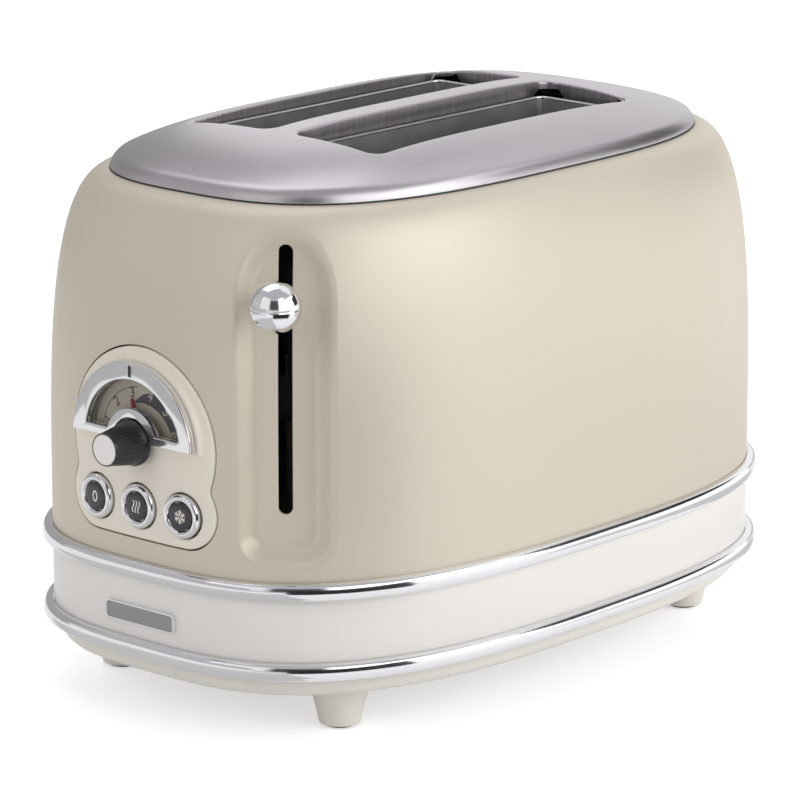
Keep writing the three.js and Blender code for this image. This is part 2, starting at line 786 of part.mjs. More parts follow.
// A curved sheet that fills the shell's hole, with a flange behind the shell, a flat
// seat for the dial and a recess behind it for the printed plate and the pointer
function panelPlate() {
  const frontX = panelFaceX - overrun;
  const barMiddle = bezelBarRise - bezelBar / 2;
  const flangeForm = bodyForm(-shellWall - gap, shellBottomZ);
  const hollow = bodyForm(-shellWall - gap - panelFlange, shellBottomZ - overrun);
  const seat = aboveAxis(
    rod(bezelRadius + dialSeatMargin, 'X', dialSeatX, dialSeatX + dialSeatDepth, ringSteps),
    bezelBarRise - bezelBar - dialSeatMargin);
  const recess = aboveAxis(
    rod(dialPlateRadius + gap, 'X', dialRecessX, boardX, ringSteps), -gap);
  const pointerRecess = rod(
    pointerDiscRadius + pointerDiscClearance, 'X', dialRecessX, boardX);
  const opening = aboveAxis(rod(bezelOpeningRadius, 'X', frontX, boardX, ringSteps), barMiddle);
  const shaftHole = rod(shaftRadius + shaftClearance, 'X', frontX, boardX, postSteps);
  let plate = prism(panelOutline(0), 'X', frontX, boardX).intersect(bodyForm(panelProud, shellBottomZ))
    .add(prism(panelOutline(-panelFlangeMargin), 'X', frontX, boardX).intersect(flangeForm))
    .subtract(hollow)
    .add(seat.translate([0, 0, axisZ]));
  for (const cutter of [recess, pointerRecess, opening, shaftHole]) {
    plate = plate.subtract(cutter.translate([0, 0, axisZ]));
  }
  const postPlaces = [
    [buttonPitch / 2, boardPostLowZ],
    [boardPostCircle * Math.cos(boardPostAngle), axisZ + boardPostCircle * Math.sin(boardPostAngle)],
  ];
  for (const side of mirrorSides) {
    for (const [y, z] of postPlaces) {
      const post = rod(boardPostRadius, 'X', panelBackX - panelFlange / 2, boardX - gap, postSteps);
      plate = plate.add(post.translate([0, side * y, z]));
    }
  }
  for (const place of [-1, 0, 1]) {
    const hole = rod(buttonRadius + buttonHoleClearance, 'X', frontX, panelBackX + overrun);
    plate = plate.subtract(hole.translate([0, place * buttonPitch, buttonZ]));
  }
  return plate;
}

function dialBezel() {
  const crown = bezelHeight - bezelEdge;
  const frontEdgeX = bezelBackX - crown;
  const ring = turned([
    [bezelOpeningRadius, bezelBackX], [bezelRadius, bezelBackX],
    [bezelRadius - bezelEdge / 2, frontEdgeX], [bezelRadius - 2 * bezelEdge, bezelFrontX],
    [bezelOpeningRadius + bezelEdge, bezelFrontX], [bezelOpeningRadius, frontEdgeX],
    [bezelOpeningRadius, bezelBackX]], 'X', ringSteps);
  const hub = turned([
    [hubInnerRadius, bezelBackX], [hubOuterRadius, bezelBackX],
    [hubOuterRadius, frontEdgeX], [hubOuterRadius - bezelEdge, bezelFrontX],
    [hubInnerRadius, bezelFrontX], [hubInnerRadius, bezelBackX]], 'X');
  const low = bezelBarRise - bezelBar;
  const barSection = new THREE.Shape([
    [bezelBackX, low], [bezelBackX, bezelBarRise], [frontEdgeX, bezelBarRise],
    [bezelFrontX, bezelBarRise - bezelEdge], [bezelFrontX, low + bezelEdge], [frontEdgeX, low],
  ].map(([x, z]) => new THREE.Vector2(x, z)));
  const bar = prism(barSection, 'Y', -bezelRadius, bezelRadius)
    .intersect(rod(bezelRadius - bezelEdge, 'X', bezelFrontX, bezelBackX, ringSteps))
    .subtract(rod(hubInnerRadius, 'X', bezelFrontX - overrun, bezelBackX + overrun));
  return aboveAxis(joined([ring, hub]), low).add(bar).translate([0, 0, axisZ]);
}

function dialWindow() {
  const x = bezelFrontX + windowDepth;
  const pane = tube(bezelOpeningRadius - gap, hubOuterRadius + gap, 'X', x, x + windowThickness,
    ringSteps);
  return aboveAxis(pane, bezelBarRise + gap).translate([0, 0, axisZ]);
}

function dialPlate() {
  const x = dialRecessX + pointerThickness + 2 * gap;
  const disc = tube(dialPlateRadius, shaftRadius + 2 * gap, 'X', x, x + dialPlateThickness,
    ringSteps);
  return aboveAxis(disc, 0).translate([0, 0, axisZ]);
}

function dialPointer() {
  const x = dialRecessX + gap;
  const disc = tube(pointerDiscRadius, shaftRadius + gap, 'X', x, x + pointerThickness);
  const tip = box(x, x + pointerThickness, -pointerWidth / 2, pointerWidth / 2,
    pointerDiscRadius - pointerWidth, pointerReach);
  return disc.add(tip)
    .rotate([-THREE.MathUtils.radToDeg(pointerRestAngle), 0, 0])
    .translate([0, 0, axisZ]);
}

// Knob

function dialKnob() {
  const count = 2 * knobFlutes;
  const ringAt = (radius, x, flute) => Array.from({ length: count }, (unused, i) => {
    const angle = 2 * Math.PI * i / count;
    const r = radius - (i % 2 ? flute : 0);
    return new THREE.Vector3(x, r * Math.cos(angle), axisZ + r * Math.sin(angle));
  });
  const edge = 2 * knobFluteDepth;
  const body = lofted([
    ringAt(knobTipRadius - edge, knobTipX, 0),
    ringAt(knobTipRadius, knobTipX + edge, knobFluteDepth),
    ringAt(knobBaseRadius - edge, knobBaseX - knobSkirt - edge, knobFluteDepth),
    ringAt(knobBaseRadius, knobBaseX - knobSkirt, 0),
    ringAt(knobBaseRadius, knobBaseX, 0),
  ]);
  const bore = rod(shaftRadius + gap, 'X', knobBaseX - knobBoreDepth, knobBaseX + overrun);
  const seat = rod(knobCapRadius + gap, 'X', knobTipX - overrun, knobTipX + knobCapThickness);
  return body
    .subtract(bore.translate([0, 0, axisZ]))
    .subtract(seat.translate([0, 0, axisZ]));
}

function knobCap() {
  return rod(knobCapRadius, 'X', knobTipX, knobTipX + knobCapThickness - gap)
    .translate([0, 0, axisZ]);
}

function dialShaft() {
  return rod(shaftRadius, 'X', knobBaseX - knobBoreDepth + gap, boardX - potDepth - gap)
    .translate([0, 0, axisZ]);
}

// Buttons

function buttonCap(setback) {
  const faceX = panelFaceX + setback;
  const frontX = faceX - buttonProud;
  const seatX = frontX + buttonInsertSunk + buttonInsertThickness + gap;
  const backX = faceX + buttonCollar;
  const stemX = boardX - switchSize - buttonTravel - gap;
  const seatRadius = buttonInsertRadius + gap;
  const crownRadius = (buttonRadius + seatRadius) / 2;
  const edgeShare = 0.6;
  return turned([
    [0, stemX], [buttonStemRadius, stemX], [buttonStemRadius, backX],
    [buttonRadius, backX], [buttonRadius, faceX - buttonProud * (1 - edgeShare)],
    [crownRadius, frontX], [seatRadius, frontX + buttonInsertSunk], [seatRadius, seatX],
    [0, seatX],
  ], 'X');
}

function buttonInsert(setback) {
  const x = panelFaceX + setback - buttonProud + buttonInsertSunk;
  return rod(buttonInsertRadius, 'X', x, x + buttonInsertThickness);
}

// Control board

function controlBoard() {
  const outline = roundedRect(
    -boardHalfWidth, boardHalfWidth, boardBottomZ, boardTopZ, boardPostRadius);
  return prism(outline, 'X', boardX, boardX + boardThickness, edgeArcSteps);
}

function browningPot() {
  return rod(potRadius, 'X', boardX - potDepth, boardX - gap).translate([0, 0, axisZ]);
}

function tactSwitch() {
  const half = switchSize / 2;
  return box(boardX - switchSize, boardX - gap, -half, half, buttonZ - half, buttonZ + half);
}

// Lever and carriage

// Where the arm passes the slot in the channel's floor
const slotPoint = new THREE.Vector2(channelX, channelY)
  .addScaledVector(channelOut, -channelDepth - insetAt(leverZ));

function leverLine(distance) {
  return slotPoint.clone().addScaledVector(leverDirection, distance);
}

// How far in along the arm's line the carriage's tongue lies
const leverIn = (carriageX - slotPoint.x) / leverDirection.x;

function leverArm() {
  const from = leverIn + gap;
  const to = leverOut - ballRadius + ballPocketDepth - gap;
  const strip = new THREE.BoxGeometry(to - from, armThickness, armHeight);
  strip.translate((to + from) / 2, 0, 0);
  const basis = new THREE.Matrix4().makeBasis(
    new THREE.Vector3(leverDirection.x, leverDirection.y, 0),
    new THREE.Vector3(-leverDirection.y, leverDirection.x, 0),
    new THREE.Vector3(0, 0, 1));
  basis.setPosition(slotPoint.x, slotPoint.y, leverZ);
  const beyond = box(carriageX - gap, rearReach, -bodyHalfWidth, 0, 0, shoulderTopZ);
  return solid(strip.applyMatrix4(basis)).subtract(beyond);
}

function leverBall() {
  const centre = leverLine(leverOut);
  const ball = new THREE.SphereGeometry(ballRadius, ballSteps, ballSteps / 2);
  ball.rotateX(Math.PI / 2);
  ball.translate(centre.x, centre.y, leverZ);
  const end = leverLine(leverOut - ballRadius);
  const pocket = new THREE.BoxGeometry(
    2 * ballPocketDepth, armThickness + 2 * gap, armHeight + 2 * gap);
  pocket.rotateZ(leverAngle);
  pocket.translate(end.x, end.y, leverZ);
  return solid(ball).subtract(solid(pocket));
}

function liftCarriage() {
  const back = carriageX + carriageSheet;
  const barBottomZ = lifterZ - lifterWebHeight;
  const barTopZ = barBottomZ + carriageBarHeight;
  const tongueY = leverLine(leverIn).y;
  const barLowY = tongueY - tongueWidth / 2;
  const barHighY = breadSlotY + lifterTabReach;
  const bar = box(carriageX, back, barLowY, barHighY, barBottomZ, barTopZ);
  const tongue = prism(
    roundedRect(barLowY, barLowY + tongueWidth, barBottomZ, leverZ + tongueWidth / 2,
      tongueCorner),
    'X', carriageX, back, edgeArcSteps);
  const sleeveRadius = rodRadius + rodClearance + sleeveWall;
  const sleeve = rod(sleeveRadius, 'Z', barBottomZ, barBottomZ + sleeveHeight, rodSteps)
    .translate([rodX, rodY, 0]);
  const web = box(rodX, back, rodY - sleeveWall, rodY + sleeveWall, barBottomZ,
    barBottomZ + sleeveHeight);
  const shelf = box(rodX - shelfHalfWidth, back, springY - shelfHalfWidth,
    springY + shelfHalfWidth, barBottomZ, barBottomZ + carriageSheet);
  const rodHole = rod(rodRadius + rodClearance, 'Z', 0, shoulderTopZ, rodSteps)
    .translate([rodX, rodY, 0]);
  return joined([bar, tongue, web, sleeve, shelf]).subtract(rodHole);
}

function breadLifter(side) {
  const y = side * breadSlotY;
  const frontX = carriageX + carriageSheet + gap;
  const rearX = rearPlateX + sheet + gap;
  const half = lifterWebThickness / 2;
  const web = box(frontX, rearX, y - half, y + half, lifterZ - lifterWebHeight, lifterZ);
  const tabs = Array.from({ length: lifterTabs }, (unused, i) => {
    const x = breadSlotX + (i - (lifterTabs - 1) / 2) * lifterTabPitch;
    return box(x - lifterTabLength / 2, x + lifterTabLength / 2,
      y - lifterTabReach, y + lifterTabReach, lifterZ - lifterTabSheet, lifterZ);
  });
  return joined([web, ...tabs]);
}

function latchKeeper() {
  const topZ = lifterZ - lifterWebHeight - gap;
  const half = keeperSize / 2;
  return box(rodX - half, rodX + half, springY - half, springY + half,
    topZ - keeperThickness, topZ);
}

function holdMagnet() {
  const half = magnetSize / 2;
  const topZ = lifterZ - lifterWebHeight - keeperThickness - leverDown - 2 * gap;
  const yoke = box(rodX - half, rodX + half, springY - half, springY + half, standZ, topZ);
  const slot = box(rodX - half - overrun, rodX + half + overrun, springY - magnetGroove / 2,
    springY + magnetGroove / 2, topZ - magnetGroove, topZ + overrun);
  return yoke.subtract(slot);
}

class SpringHelix extends THREE.Curve {
  constructor(bottomZ, topZ) {
    super();
    this.bottomZ = bottomZ;
    this.topZ = topZ;
  }

  getPoint(t, target = new THREE.Vector3()) {
    const turn = 2 * Math.PI * springTurns * t;
    return target.set(
      rodX + springRadius * Math.cos(turn),
      springY + springRadius * Math.sin(turn),
      this.bottomZ + (this.topZ - this.bottomZ) * t);
  }
}

function returnSpring() {
  const bottomZ = lifterZ - lifterWebHeight + carriageSheet + gap + springWire;
  const section = new THREE.Shape();
  const sectionSides = 5;
  for (let i = 0; i < sectionSides; i += 1) {
    const turn = 2 * Math.PI * i / sectionSides;
    const point = [springWire * Math.cos(turn), springWire * Math.sin(turn)];
    if (i === 0) section.moveTo(...point);
    else section.lineTo(...point);
  }
  section.closePath();
  const stepsPerTurn = 8;
  const geometry = new THREE.ExtrudeGeometry(section, {
    steps: stepsPerTurn * springTurns,
    bevelEnabled: false,
    extrudePath: new SpringHelix(bottomZ, hangZ - springWire),
  });
  return solid(geometry);
}

function guideRod() {
  return rod(rodRadius, 'Z', standZ, hangZ, rodSteps).translate([rodX, rodY, 0]);
}

// Chassis

function chassisTop() {
  const angles = planAngles(planSteps);
  const inset = shellFlange - chassisTopInset;
  const ringAt = (z) => angles.map((angle) => {
    const point = planPoint(
      topHalfLength - inset, topHalfWidth - inset, topEndPower, topSidePower, angle);
    return new THREE.Vector3(point.x, point.y, z);
  });
  let plate = lofted([ringAt(chassisUndersideZ), ringAt(chassisTopZ)]);
  const openingOutline = (side, grow) => {
    const y = side * breadSlotY;
    const halfLength = chassisOpeningLength / 2 + grow;
    const halfWidth = chassisOpeningWidth / 2 + grow;
    return roundedRect(breadSlotX - halfLength, breadSlotX + halfLength, y - halfWidth,
      y + halfWidth, chassisOpeningCorner + grow);
  };
  for (const side of mirrorSides) {
    plate = plate
      .add(prism(openingOutline(side, sheet), 'Z', chassisUndersideZ, chassisTopZ + chassisRim,
        cornerSteps))
      .subtract(prism(openingOutline(side, 0), 'Z', chassisUndersideZ - overrun,
        chassisTopZ + chassisRim + overrun, cornerSteps));
  }
  return plate;
}

// An upright end plate: legs beside the crumb tray and a slot for each lifter
function endPlate(x) {
  const lifterLowZ = lifterZ - lifterWebHeight - leverDown - lifterSlotClearance;
  const lifterHighZ = lifterZ + leverUp + lifterSlotClearance;
  let plate = box(x, x + sheet, -endPlateHalfWidth, endPlateHalfWidth, standZ, hangZ);
  plate = plate.subtract(box(x - overrun, x + sheet + overrun, -trayWindowHalfWidth,
    trayWindowHalfWidth, standZ - overrun, trayWindowTopZ));
  for (const side of mirrorSides) {
    const y = side * breadSlotY;
    plate = plate.subtract(prism(
      roundedRect(y - lifterSlotWidth / 2, y + lifterSlotWidth / 2, lifterLowZ, lifterHighZ,
        lifterSlotWidth / 2 * roundEndShare),
      'X', x - overrun, x + sheet + overrun, cornerSteps));
  }
  return plate;
}

// What hangs between the end plates keeps a gap to both
const spanFrontX = frontPlateX + sheet + gap;
const spanRearX = rearPlateX - gap;

function sideReflector(side) {
  const y = side * reflectorY;
  return box(spanFrontX, spanRearX, y - sheet / 2, y + sheet / 2, reflectorBottomZ, hangZ);
}

// A flat mica card with notched edges for its wire
function heatingElement(y) {
  const margin = guideMargin / 2;
  const pitch = (spanRearX - spanFrontX - 2 * margin) / elementNotches;
  const edge = (z, inward, forward) => {
    const points = [];
    for (let i = 0; i < elementNotches; i += 1) {
      const start = spanFrontX + margin + (i + notchStartShare) * pitch;
      const end = start + notchWidthShare * pitch;
      points.push([start, z], [start, z + inward], [end, z + inward], [end, z]);
    }
    return forward ? points : points.reverse();
  };
  const outline = [
    [spanFrontX, elementBottomZ], ...edge(elementBottomZ, elementNotchDepth, true),
    [spanRearX, elementBottomZ], [spanRearX, elementTopZ],
    ...edge(elementTopZ, -elementNotchDepth, false), [spanFrontX, elementTopZ],
  ];
  const shape = new THREE.Shape(outline.map(([x, z]) => new THREE.Vector2(x, z)));
  return prism(shape, 'Y', y - elementThickness / 2, y + elementThickness / 2);
}

function breadGuide(y) {
  const steps = 4;
  const rails = [guideBottomZ, guideTopZ].map((z) => (
    rod(guideWire, 'X', spanFrontX, spanRearX, steps).translate([0, y, z])));
  const first = breadSlotX - breadSlotLength / 2 + guideMargin;
  const pitch = (breadSlotLength - 2 * guideMargin) / (guideWires - 1);
  const wires = Array.from({ length: guideWires }, (unused, i) => (
    rod(guideWire, 'Z', guideBottomZ, guideTopZ, steps).translate([first + i * pitch, y, 0])));
  return joined([...rails, ...wires]);
}

// Crumb tray

function crumbTray() {
  const outside = box(trayFrontX, trayRearX, -trayHalfWidth, trayHalfWidth,
    trayZ, trayZ + trayHeight);
  const inside = box(trayFrontX + traySheet, trayRearX - traySheet,
    -trayHalfWidth + traySheet, trayHalfWidth - traySheet,
    trayZ + traySheet, trayZ + trayHeight + overrun);
  return outside.subtract(inside);
}

// The assembly

const finishes = {
  enamel: { color: 0xd8cfb8, roughness: 0.25, metalness: 0 },
  panelCream: { color: 0xe6dccb, roughness: 0.35, metalness: 0 },
  bandWhite: { color: 0xf0ede6, roughness: 0.35, metalness: 0 },
  panCream: { color: 0xe9e2d3, roughness: 0.45, metalness: 0 },
  brushedSteel: { color: 0xa6a0a4, roughness: 0.35, metalness: 1 },
  chrome: { color: 0xd9dadd, roughness: 0.08, metalness: 1 },
  satinMetal: { color: 0xd5d4d2, roughness: 0.3, metalness: 1 },
  galvanised: { color: 0x8d9092, roughness: 0.5, metalness: 1 },
  blackPlastic: { color: 0x17171a, roughness: 0.4, metalness: 0 },
  darkGrey: { color: 0x3c3a40, roughness: 0.45, metalness: 0 },
  dialFace: { color: 0xe0d9c8, roughness: 0.5, metalness: 0 },
  clear: { color: 0xf4f6f8, roughness: 0.05, metalness: 0 },
  red: { color: 0xb4232a, roughness: 0.4, metalness: 0 },
  rubber: { color: 0x2b2b2c, roughness: 0.85, metalness: 0 },
  mica: { color: 0xb9a98c, roughness: 0.6, metalness: 0 },
  board: { color: 0x2f6b45, roughness: 0.5, metalness: 0 },
  copperRed: { color: 0x8a4a32, roughness: 0.45, metalness: 0 },
};
const materials = Object.fromEntries(Object.entries(finishes).map(
  ([name, values]) => [name, new THREE.MeshStandardMaterial(values)]));

const toaster = new THREE.Group();
toaster.position.x = originShift;

function place(name, manifold, finish) {
  const mesh = new THREE.Mesh(geometryOf(manifold), materials[finish]);
  mesh.name = name;
  toaster.add(mesh);
  return mesh;
}

place('body_shell', bodyShell(), 'enamel');
place('top_plate', topPlate(), 'brushedSteel');
place('base_band', baseBand(), 'bandWhite');
place('upper_bead', bead(upperBeadZ), 'chrome');
place('lower_bead', bead(lowerBeadZ), 'chrome');
place('base_pan', basePan(), 'panCream');
place('cord_gland', cordGland(), 'blackPlastic');
place('badge_plate', badgePlate(), 'chrome');

const cornerNames = [['front_near', -1, -1], ['front_far', -1, 1],
  ['rear_near', 1, -1], ['rear_far', 1, 1]];
const footSolid = foot();
const padSolid = rod(padRadius, 'Z', 0, padThickness);
for (const [corner, end, side] of cornerNames) {
  const footMesh = place(`foot_${corner}`, footSolid, 'panCream');
  const padMesh = place(`foot_pad_${corner}`, padSolid, 'rubber');
  footMesh.position.set(end * footX, side * footY, 0);
  padMesh.position.copy(footMesh.position);
}

place('panel_plate', panelPlate(), 'panelCream');
place('dial_bezel', dialBezel(), 'chrome');
place('dial_window', dialWindow(), 'clear');
place('dial_plate', dialPlate(), 'dialFace');
place('dial_pointer', dialPointer(), 'red');
place('dial_knob', dialKnob(), 'blackPlastic');
place('knob_cap', knobCap(), 'satinMetal');
place('dial_shaft', dialShaft(), 'satinMetal');
place('control_board', controlBoard(), 'board');
place('browning_pot', browningPot(), 'blackPlastic');

const buttonNames = [['stop', 1], ['reheat', 0], ['defrost', -1]];
const switchSolid = tactSwitch();
for (const [button, step] of buttonNames) {
  const y = step * buttonPitch;
  const setback = Math.abs(step) * sideButtonSetback;
  place(`${button}_button`, buttonCap(setback), 'chrome').position.set(0, y, buttonZ);
  place(`${button}_insert`, buttonInsert(setback), 'darkGrey').position.set(0, y, buttonZ);
  place(`${button}_switch`, switchSolid, 'blackPlastic').position.set(0, y, 0);
}

place('lever_ball', leverBall(), 'chrome');
place('lever_arm', leverArm(), 'satinMetal');
place('lift_carriage', liftCarriage(), 'galvanised');
place('latch_keeper', latchKeeper(), 'galvanised');
place('hold_magnet', holdMagnet(), 'copperRed');
place('guide_rod', guideRod(), 'satinMetal');
place('return_spring', returnSpring(), 'satinMetal');

place('chassis_top', chassisTop(), 'galvanised');
place('end_plate_front', endPlate(frontPlateX), 'galvanised');
place('end_plate_rear', endPlate(rearPlateX), 'galvanised');
for (const [sideName, side] of [['near', -1], ['far', 1]]) {
  place(`reflector_${sideName}`, sideReflector(side), 'galvanised');
  place(`lifter_${sideName}`, breadLifter(side), 'satinMetal');
  place(`element_${sideName}`, heatingElement(side * elementY), 'mica');
  place(`guide_${sideName}_inner`, breadGuide(side * (breadSlotY - guideOffset)), 'satinMetal');
  place(`guide_${sideName}_outer`, breadGuide(side * (breadSlotY + guideOffset)), 'satinMetal');
}
place('element_centre', heatingElement(0), 'mica');

place('crumb_tray', crumbTray(), 'galvanised');
place('tray_door', trayDoor(), 'bandWhite');

export default toaster;
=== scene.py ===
"""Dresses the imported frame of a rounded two-slice toaster with its visible pieces."""

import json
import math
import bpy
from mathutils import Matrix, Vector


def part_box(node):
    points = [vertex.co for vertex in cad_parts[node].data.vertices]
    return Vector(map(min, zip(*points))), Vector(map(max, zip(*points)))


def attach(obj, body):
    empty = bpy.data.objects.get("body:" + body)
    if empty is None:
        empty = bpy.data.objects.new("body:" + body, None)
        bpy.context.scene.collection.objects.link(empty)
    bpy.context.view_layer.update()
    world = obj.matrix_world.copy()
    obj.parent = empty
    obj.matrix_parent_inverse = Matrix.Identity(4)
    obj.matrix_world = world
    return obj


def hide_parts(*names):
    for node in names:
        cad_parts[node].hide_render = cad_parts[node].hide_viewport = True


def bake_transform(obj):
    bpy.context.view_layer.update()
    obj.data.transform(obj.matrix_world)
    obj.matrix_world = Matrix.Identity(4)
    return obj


bl_info = {
    "name": "Two-slice toaster",
    "version": (1, 0, 0),
    "blender": (4, 5, 0),
    "location": "View3D > Sidebar > Toaster",
    "description": "Builds a toaster's enamelled body, steel top, chrome dial and working parts",
    "category": "Object",
}

import bmesh
import bpy
import numpy as np
from bpy.props import FloatProperty, FloatVectorProperty, PointerProperty
from mathutils import Matrix, Vector
from mathutils.geometry import delaunay_2d_cdt

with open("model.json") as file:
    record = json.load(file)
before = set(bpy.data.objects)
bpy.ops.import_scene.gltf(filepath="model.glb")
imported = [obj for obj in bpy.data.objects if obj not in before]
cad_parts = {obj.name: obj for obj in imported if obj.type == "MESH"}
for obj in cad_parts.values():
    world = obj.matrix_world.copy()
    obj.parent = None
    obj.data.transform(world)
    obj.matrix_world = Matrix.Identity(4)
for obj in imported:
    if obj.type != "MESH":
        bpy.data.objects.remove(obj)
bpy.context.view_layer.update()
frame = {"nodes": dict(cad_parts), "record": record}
MM = 0.001
SHELL_LOW, SHELL_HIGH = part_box("body_shell")
TOP_LOW, TOP_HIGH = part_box("top_plate")
BAND_LOW, BAND_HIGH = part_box("base_band")
PAN_LOW, PAN_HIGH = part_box("base_pan")
PANEL_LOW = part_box("panel_plate")[0]
BEZEL_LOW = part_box("dial_bezel")[0]
KNOB_LOW, KNOB_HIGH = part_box("dial_knob")
CAP_LOW, CAP_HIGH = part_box("stop_button")
BALL_LOW, BALL_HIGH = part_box("lever_ball")
CENTRE_X = (BAND_LOW.x + BAND_HIGH.x) / 2
AXIS_Z = (KNOB_LOW.z + KNOB_HIGH.z) / 2
UP = Vector((0, 0, 1))
TURN = 2 * math.pi

# Measures that belong to the solids and aren't meant to be changed alone
CHANNEL_TURN = 38.9  # degrees between the lever's channel and the body's length
CHANNEL_INSET = (13.6 * MM, 35.4 * MM)  # the channel's middle, in from the front corner
SLOT_SHIFT = 1.5 * MM  # the bread slots' middle, behind the body's middle
RIM_SHARE = 0.035  # the steel top's rolled rim, as a share of the top's half sizes
CROWN_SHARE = 0.804  # where the rim's rings end and the crown's even points begin
SHOULDER_POWERS = (3, 2.41)  # how the shoulder turns in, low and high
DOME_POWERS = (3.58, 1.15)  # how the steel top's dome falls off, in the middle and at the edge
LIP_FIELD = (0.08, 0.06)  # half length and half width of the field round both bread slots


def length(name, default, description):
    return FloatProperty(
        name=name, description=description, default=default, min=0, unit="LENGTH", precision=5
    )


def exponent(name, default, description):
    return FloatProperty(name=name, description=description, default=default)


def watts(name, default, description):
    return FloatProperty(name=name, description=description, default=default, unit="POWER")


def colour(name, default, description):
    return FloatVectorProperty(
        name=name, description=description, default=default, size=3, min=0, max=1, subtype="COLOR"
    )


# Sizes and colours


class ToasterBodySizes(bpy.types.PropertyGroup):
    """Sizes of the enamelled body and the steel top"""

    half_length: length("Half length", (BAND_HIGH.x - BAND_LOW.x) / 2, "Plan's half length")
    half_width: length("Half width", (BAND_HIGH.y - BAND_LOW.y) / 2, "Plan's half width")
    end_power: exponent("End power", 2.75, "Plan's roundness along the length")
    side_power: exponent("Side power", 3.04, "Plan's roundness across the width")
    top_half_length: length("Top half length", (TOP_HIGH.x - TOP_LOW.x) / 2, "Top's half length")
    top_half_width: length("Top half width", (TOP_HIGH.y - TOP_LOW.y) / 2, "Top's half width")
    top_end_power: exponent("Top end power", 3.15, "Top's roundness along the length")
    top_side_power: exponent("Top side power", 2.91, "Top's roundness across the width")
    shoulder_start: length("Shoulder start", 71.9 * MM, "Height where the sides start to turn in")
    shoulder_top: length("Shoulder top", SHELL_HIGH.z, "Height of the shell's upper edge")
    wall: length("Wall", 1.2 * MM, "Thickness of the enamelled sheet")
    flange: length("Flange", 8 * MM, "Width of the inward flange under the steel top")
    channel_depth: length("Channel depth", 6.5 * MM, "Depth of the lever's channel")
    channel_mouth: length("Channel mouth", 36 * MM, "Width of the channel's mouth")
    channel_floor: length("Channel floor", 20 * MM, "Width of the channel's floor")
    channel_bottom: length("Channel bottom", 63.5 * MM, "Lower end of the channel")
    channel_top: length("Channel top", 182.5 * MM, "Upper end of the channel")
    channel_reach: length("Channel top end", 26 * MM, "Height of the channel's elliptical top end")
    channel_corner: length("Channel corner", 11.5 * MM, "Corners of the channel's flat lower end")
    slot_width: length("Lever slot width", 5 * MM, "Width of the lever's slot")
    slot_bottom: length("Lever slot bottom", 81.7 * MM, "Lower end of the lever's slot")
    slot_top: length("Lever slot top", 175.2 * MM, "Upper end of the lever's slot")
    dome_rise: length("Dome rise", 15.3 * MM, "Rise of the steel top")
    roll_rise: length("Rim rise", 3.5 * MM, "Height of the steel top's rolled rim")
    bread_slot_length: length("Bread slot length", 141 * MM, "Length of each bread slot")
    bread_slot_width: length("Bread slot width", 39.9 * MM, "Width of each bread slot")
    bread_slot_y: length("Bread slot offset", 25.45 * MM, "Slot's middle from the centre line")
    bread_slot_corner: length("Bread slot corner", 5.5 * MM, "Corner radius of each bread slot")
    chassis_length: length("Chassis opening length", 126 * MM, "Opening below each bread slot")
    chassis_width: length("Chassis opening width", 33 * MM, "Opening below each bread slot")
    lip_radius: length("Lip radius", 0.9 * MM, "Roll of the bread slot's edge")
    lip_depth: length("Lip depth", 9 * MM, "Depth of the bread slot's turned-down edge")


class ToasterDialSizes(bpy.types.PropertyGroup):
    """Sizes of the control panel, dial, knob and buttons"""

    lobe_radius: length("Lobe radius", 34 * MM, "Round upper part of the panel")
    lobe_z: length("Lobe height", 101.6 * MM, "Height of the round part's middle")
    half_width: length("Half width", 34.5 * MM, "Half width of the panel's lower part")
    bottom: length("Panel bottom", 67.1 * MM, "Height of the panel's lower edge")
    corner_radius: length("Corner radius", 13 * MM, "Lower corners of the panel")
    waist_radius: length("Waist radius", 6 * MM, "Hollow between lobe and corner")
    proud: length("Panel proud", 0.6 * MM, "How far the panel stands outside the body")
    opening_radius: length("Opening radius", 22.5 * MM, "Inner radius of the chrome arc")
    bezel_radius: length("Bezel radius", 28.5 * MM, "Outer radius of the chrome arc")
    bar_low: length("Bar's underside", 0.7 * MM, "Underside of the dial's bar above the axis")
    bar_high: length("Bar's top", 3.7 * MM, "Top of the dial's bar above the axis")
    bezel_edge: length("Bezel edge", 1.1 * MM, "Slanted edge of the bezel")
    hub_outer: length("Hub outer radius", 12.1 * MM, "Small arch round the knob")
    hub_inner: length("Hub inner radius", 8.9 * MM, "Small arch round the knob")
    number_radius: length("Number radius", 16.8 * MM, "Circle that the numbers stand on")
    number_height: length("Number height", 5.0 * MM, "Height of the dial's numbers")
    arc_radius: length("Arc radius", 19 * MM, "Thin printed line")
    pointer_reach: length("Pointer reach", 15 * MM, "Pointer's tip from the axis")
    pointer_angle: FloatProperty(
        name="Pointer angle", default=math.radians(15.5), subtype="ANGLE",
        description="How far left of upright the pointer rests",
    )
    button_pitch: length("Button pitch", 20.6 * MM, "Distance between the buttons")
    button_insert: length("Insert radius", 5.1 * MM, "Dark disc in each button")
    sign_line: length("Sign line", 0.45 * MM, "Line width of the printed signs")


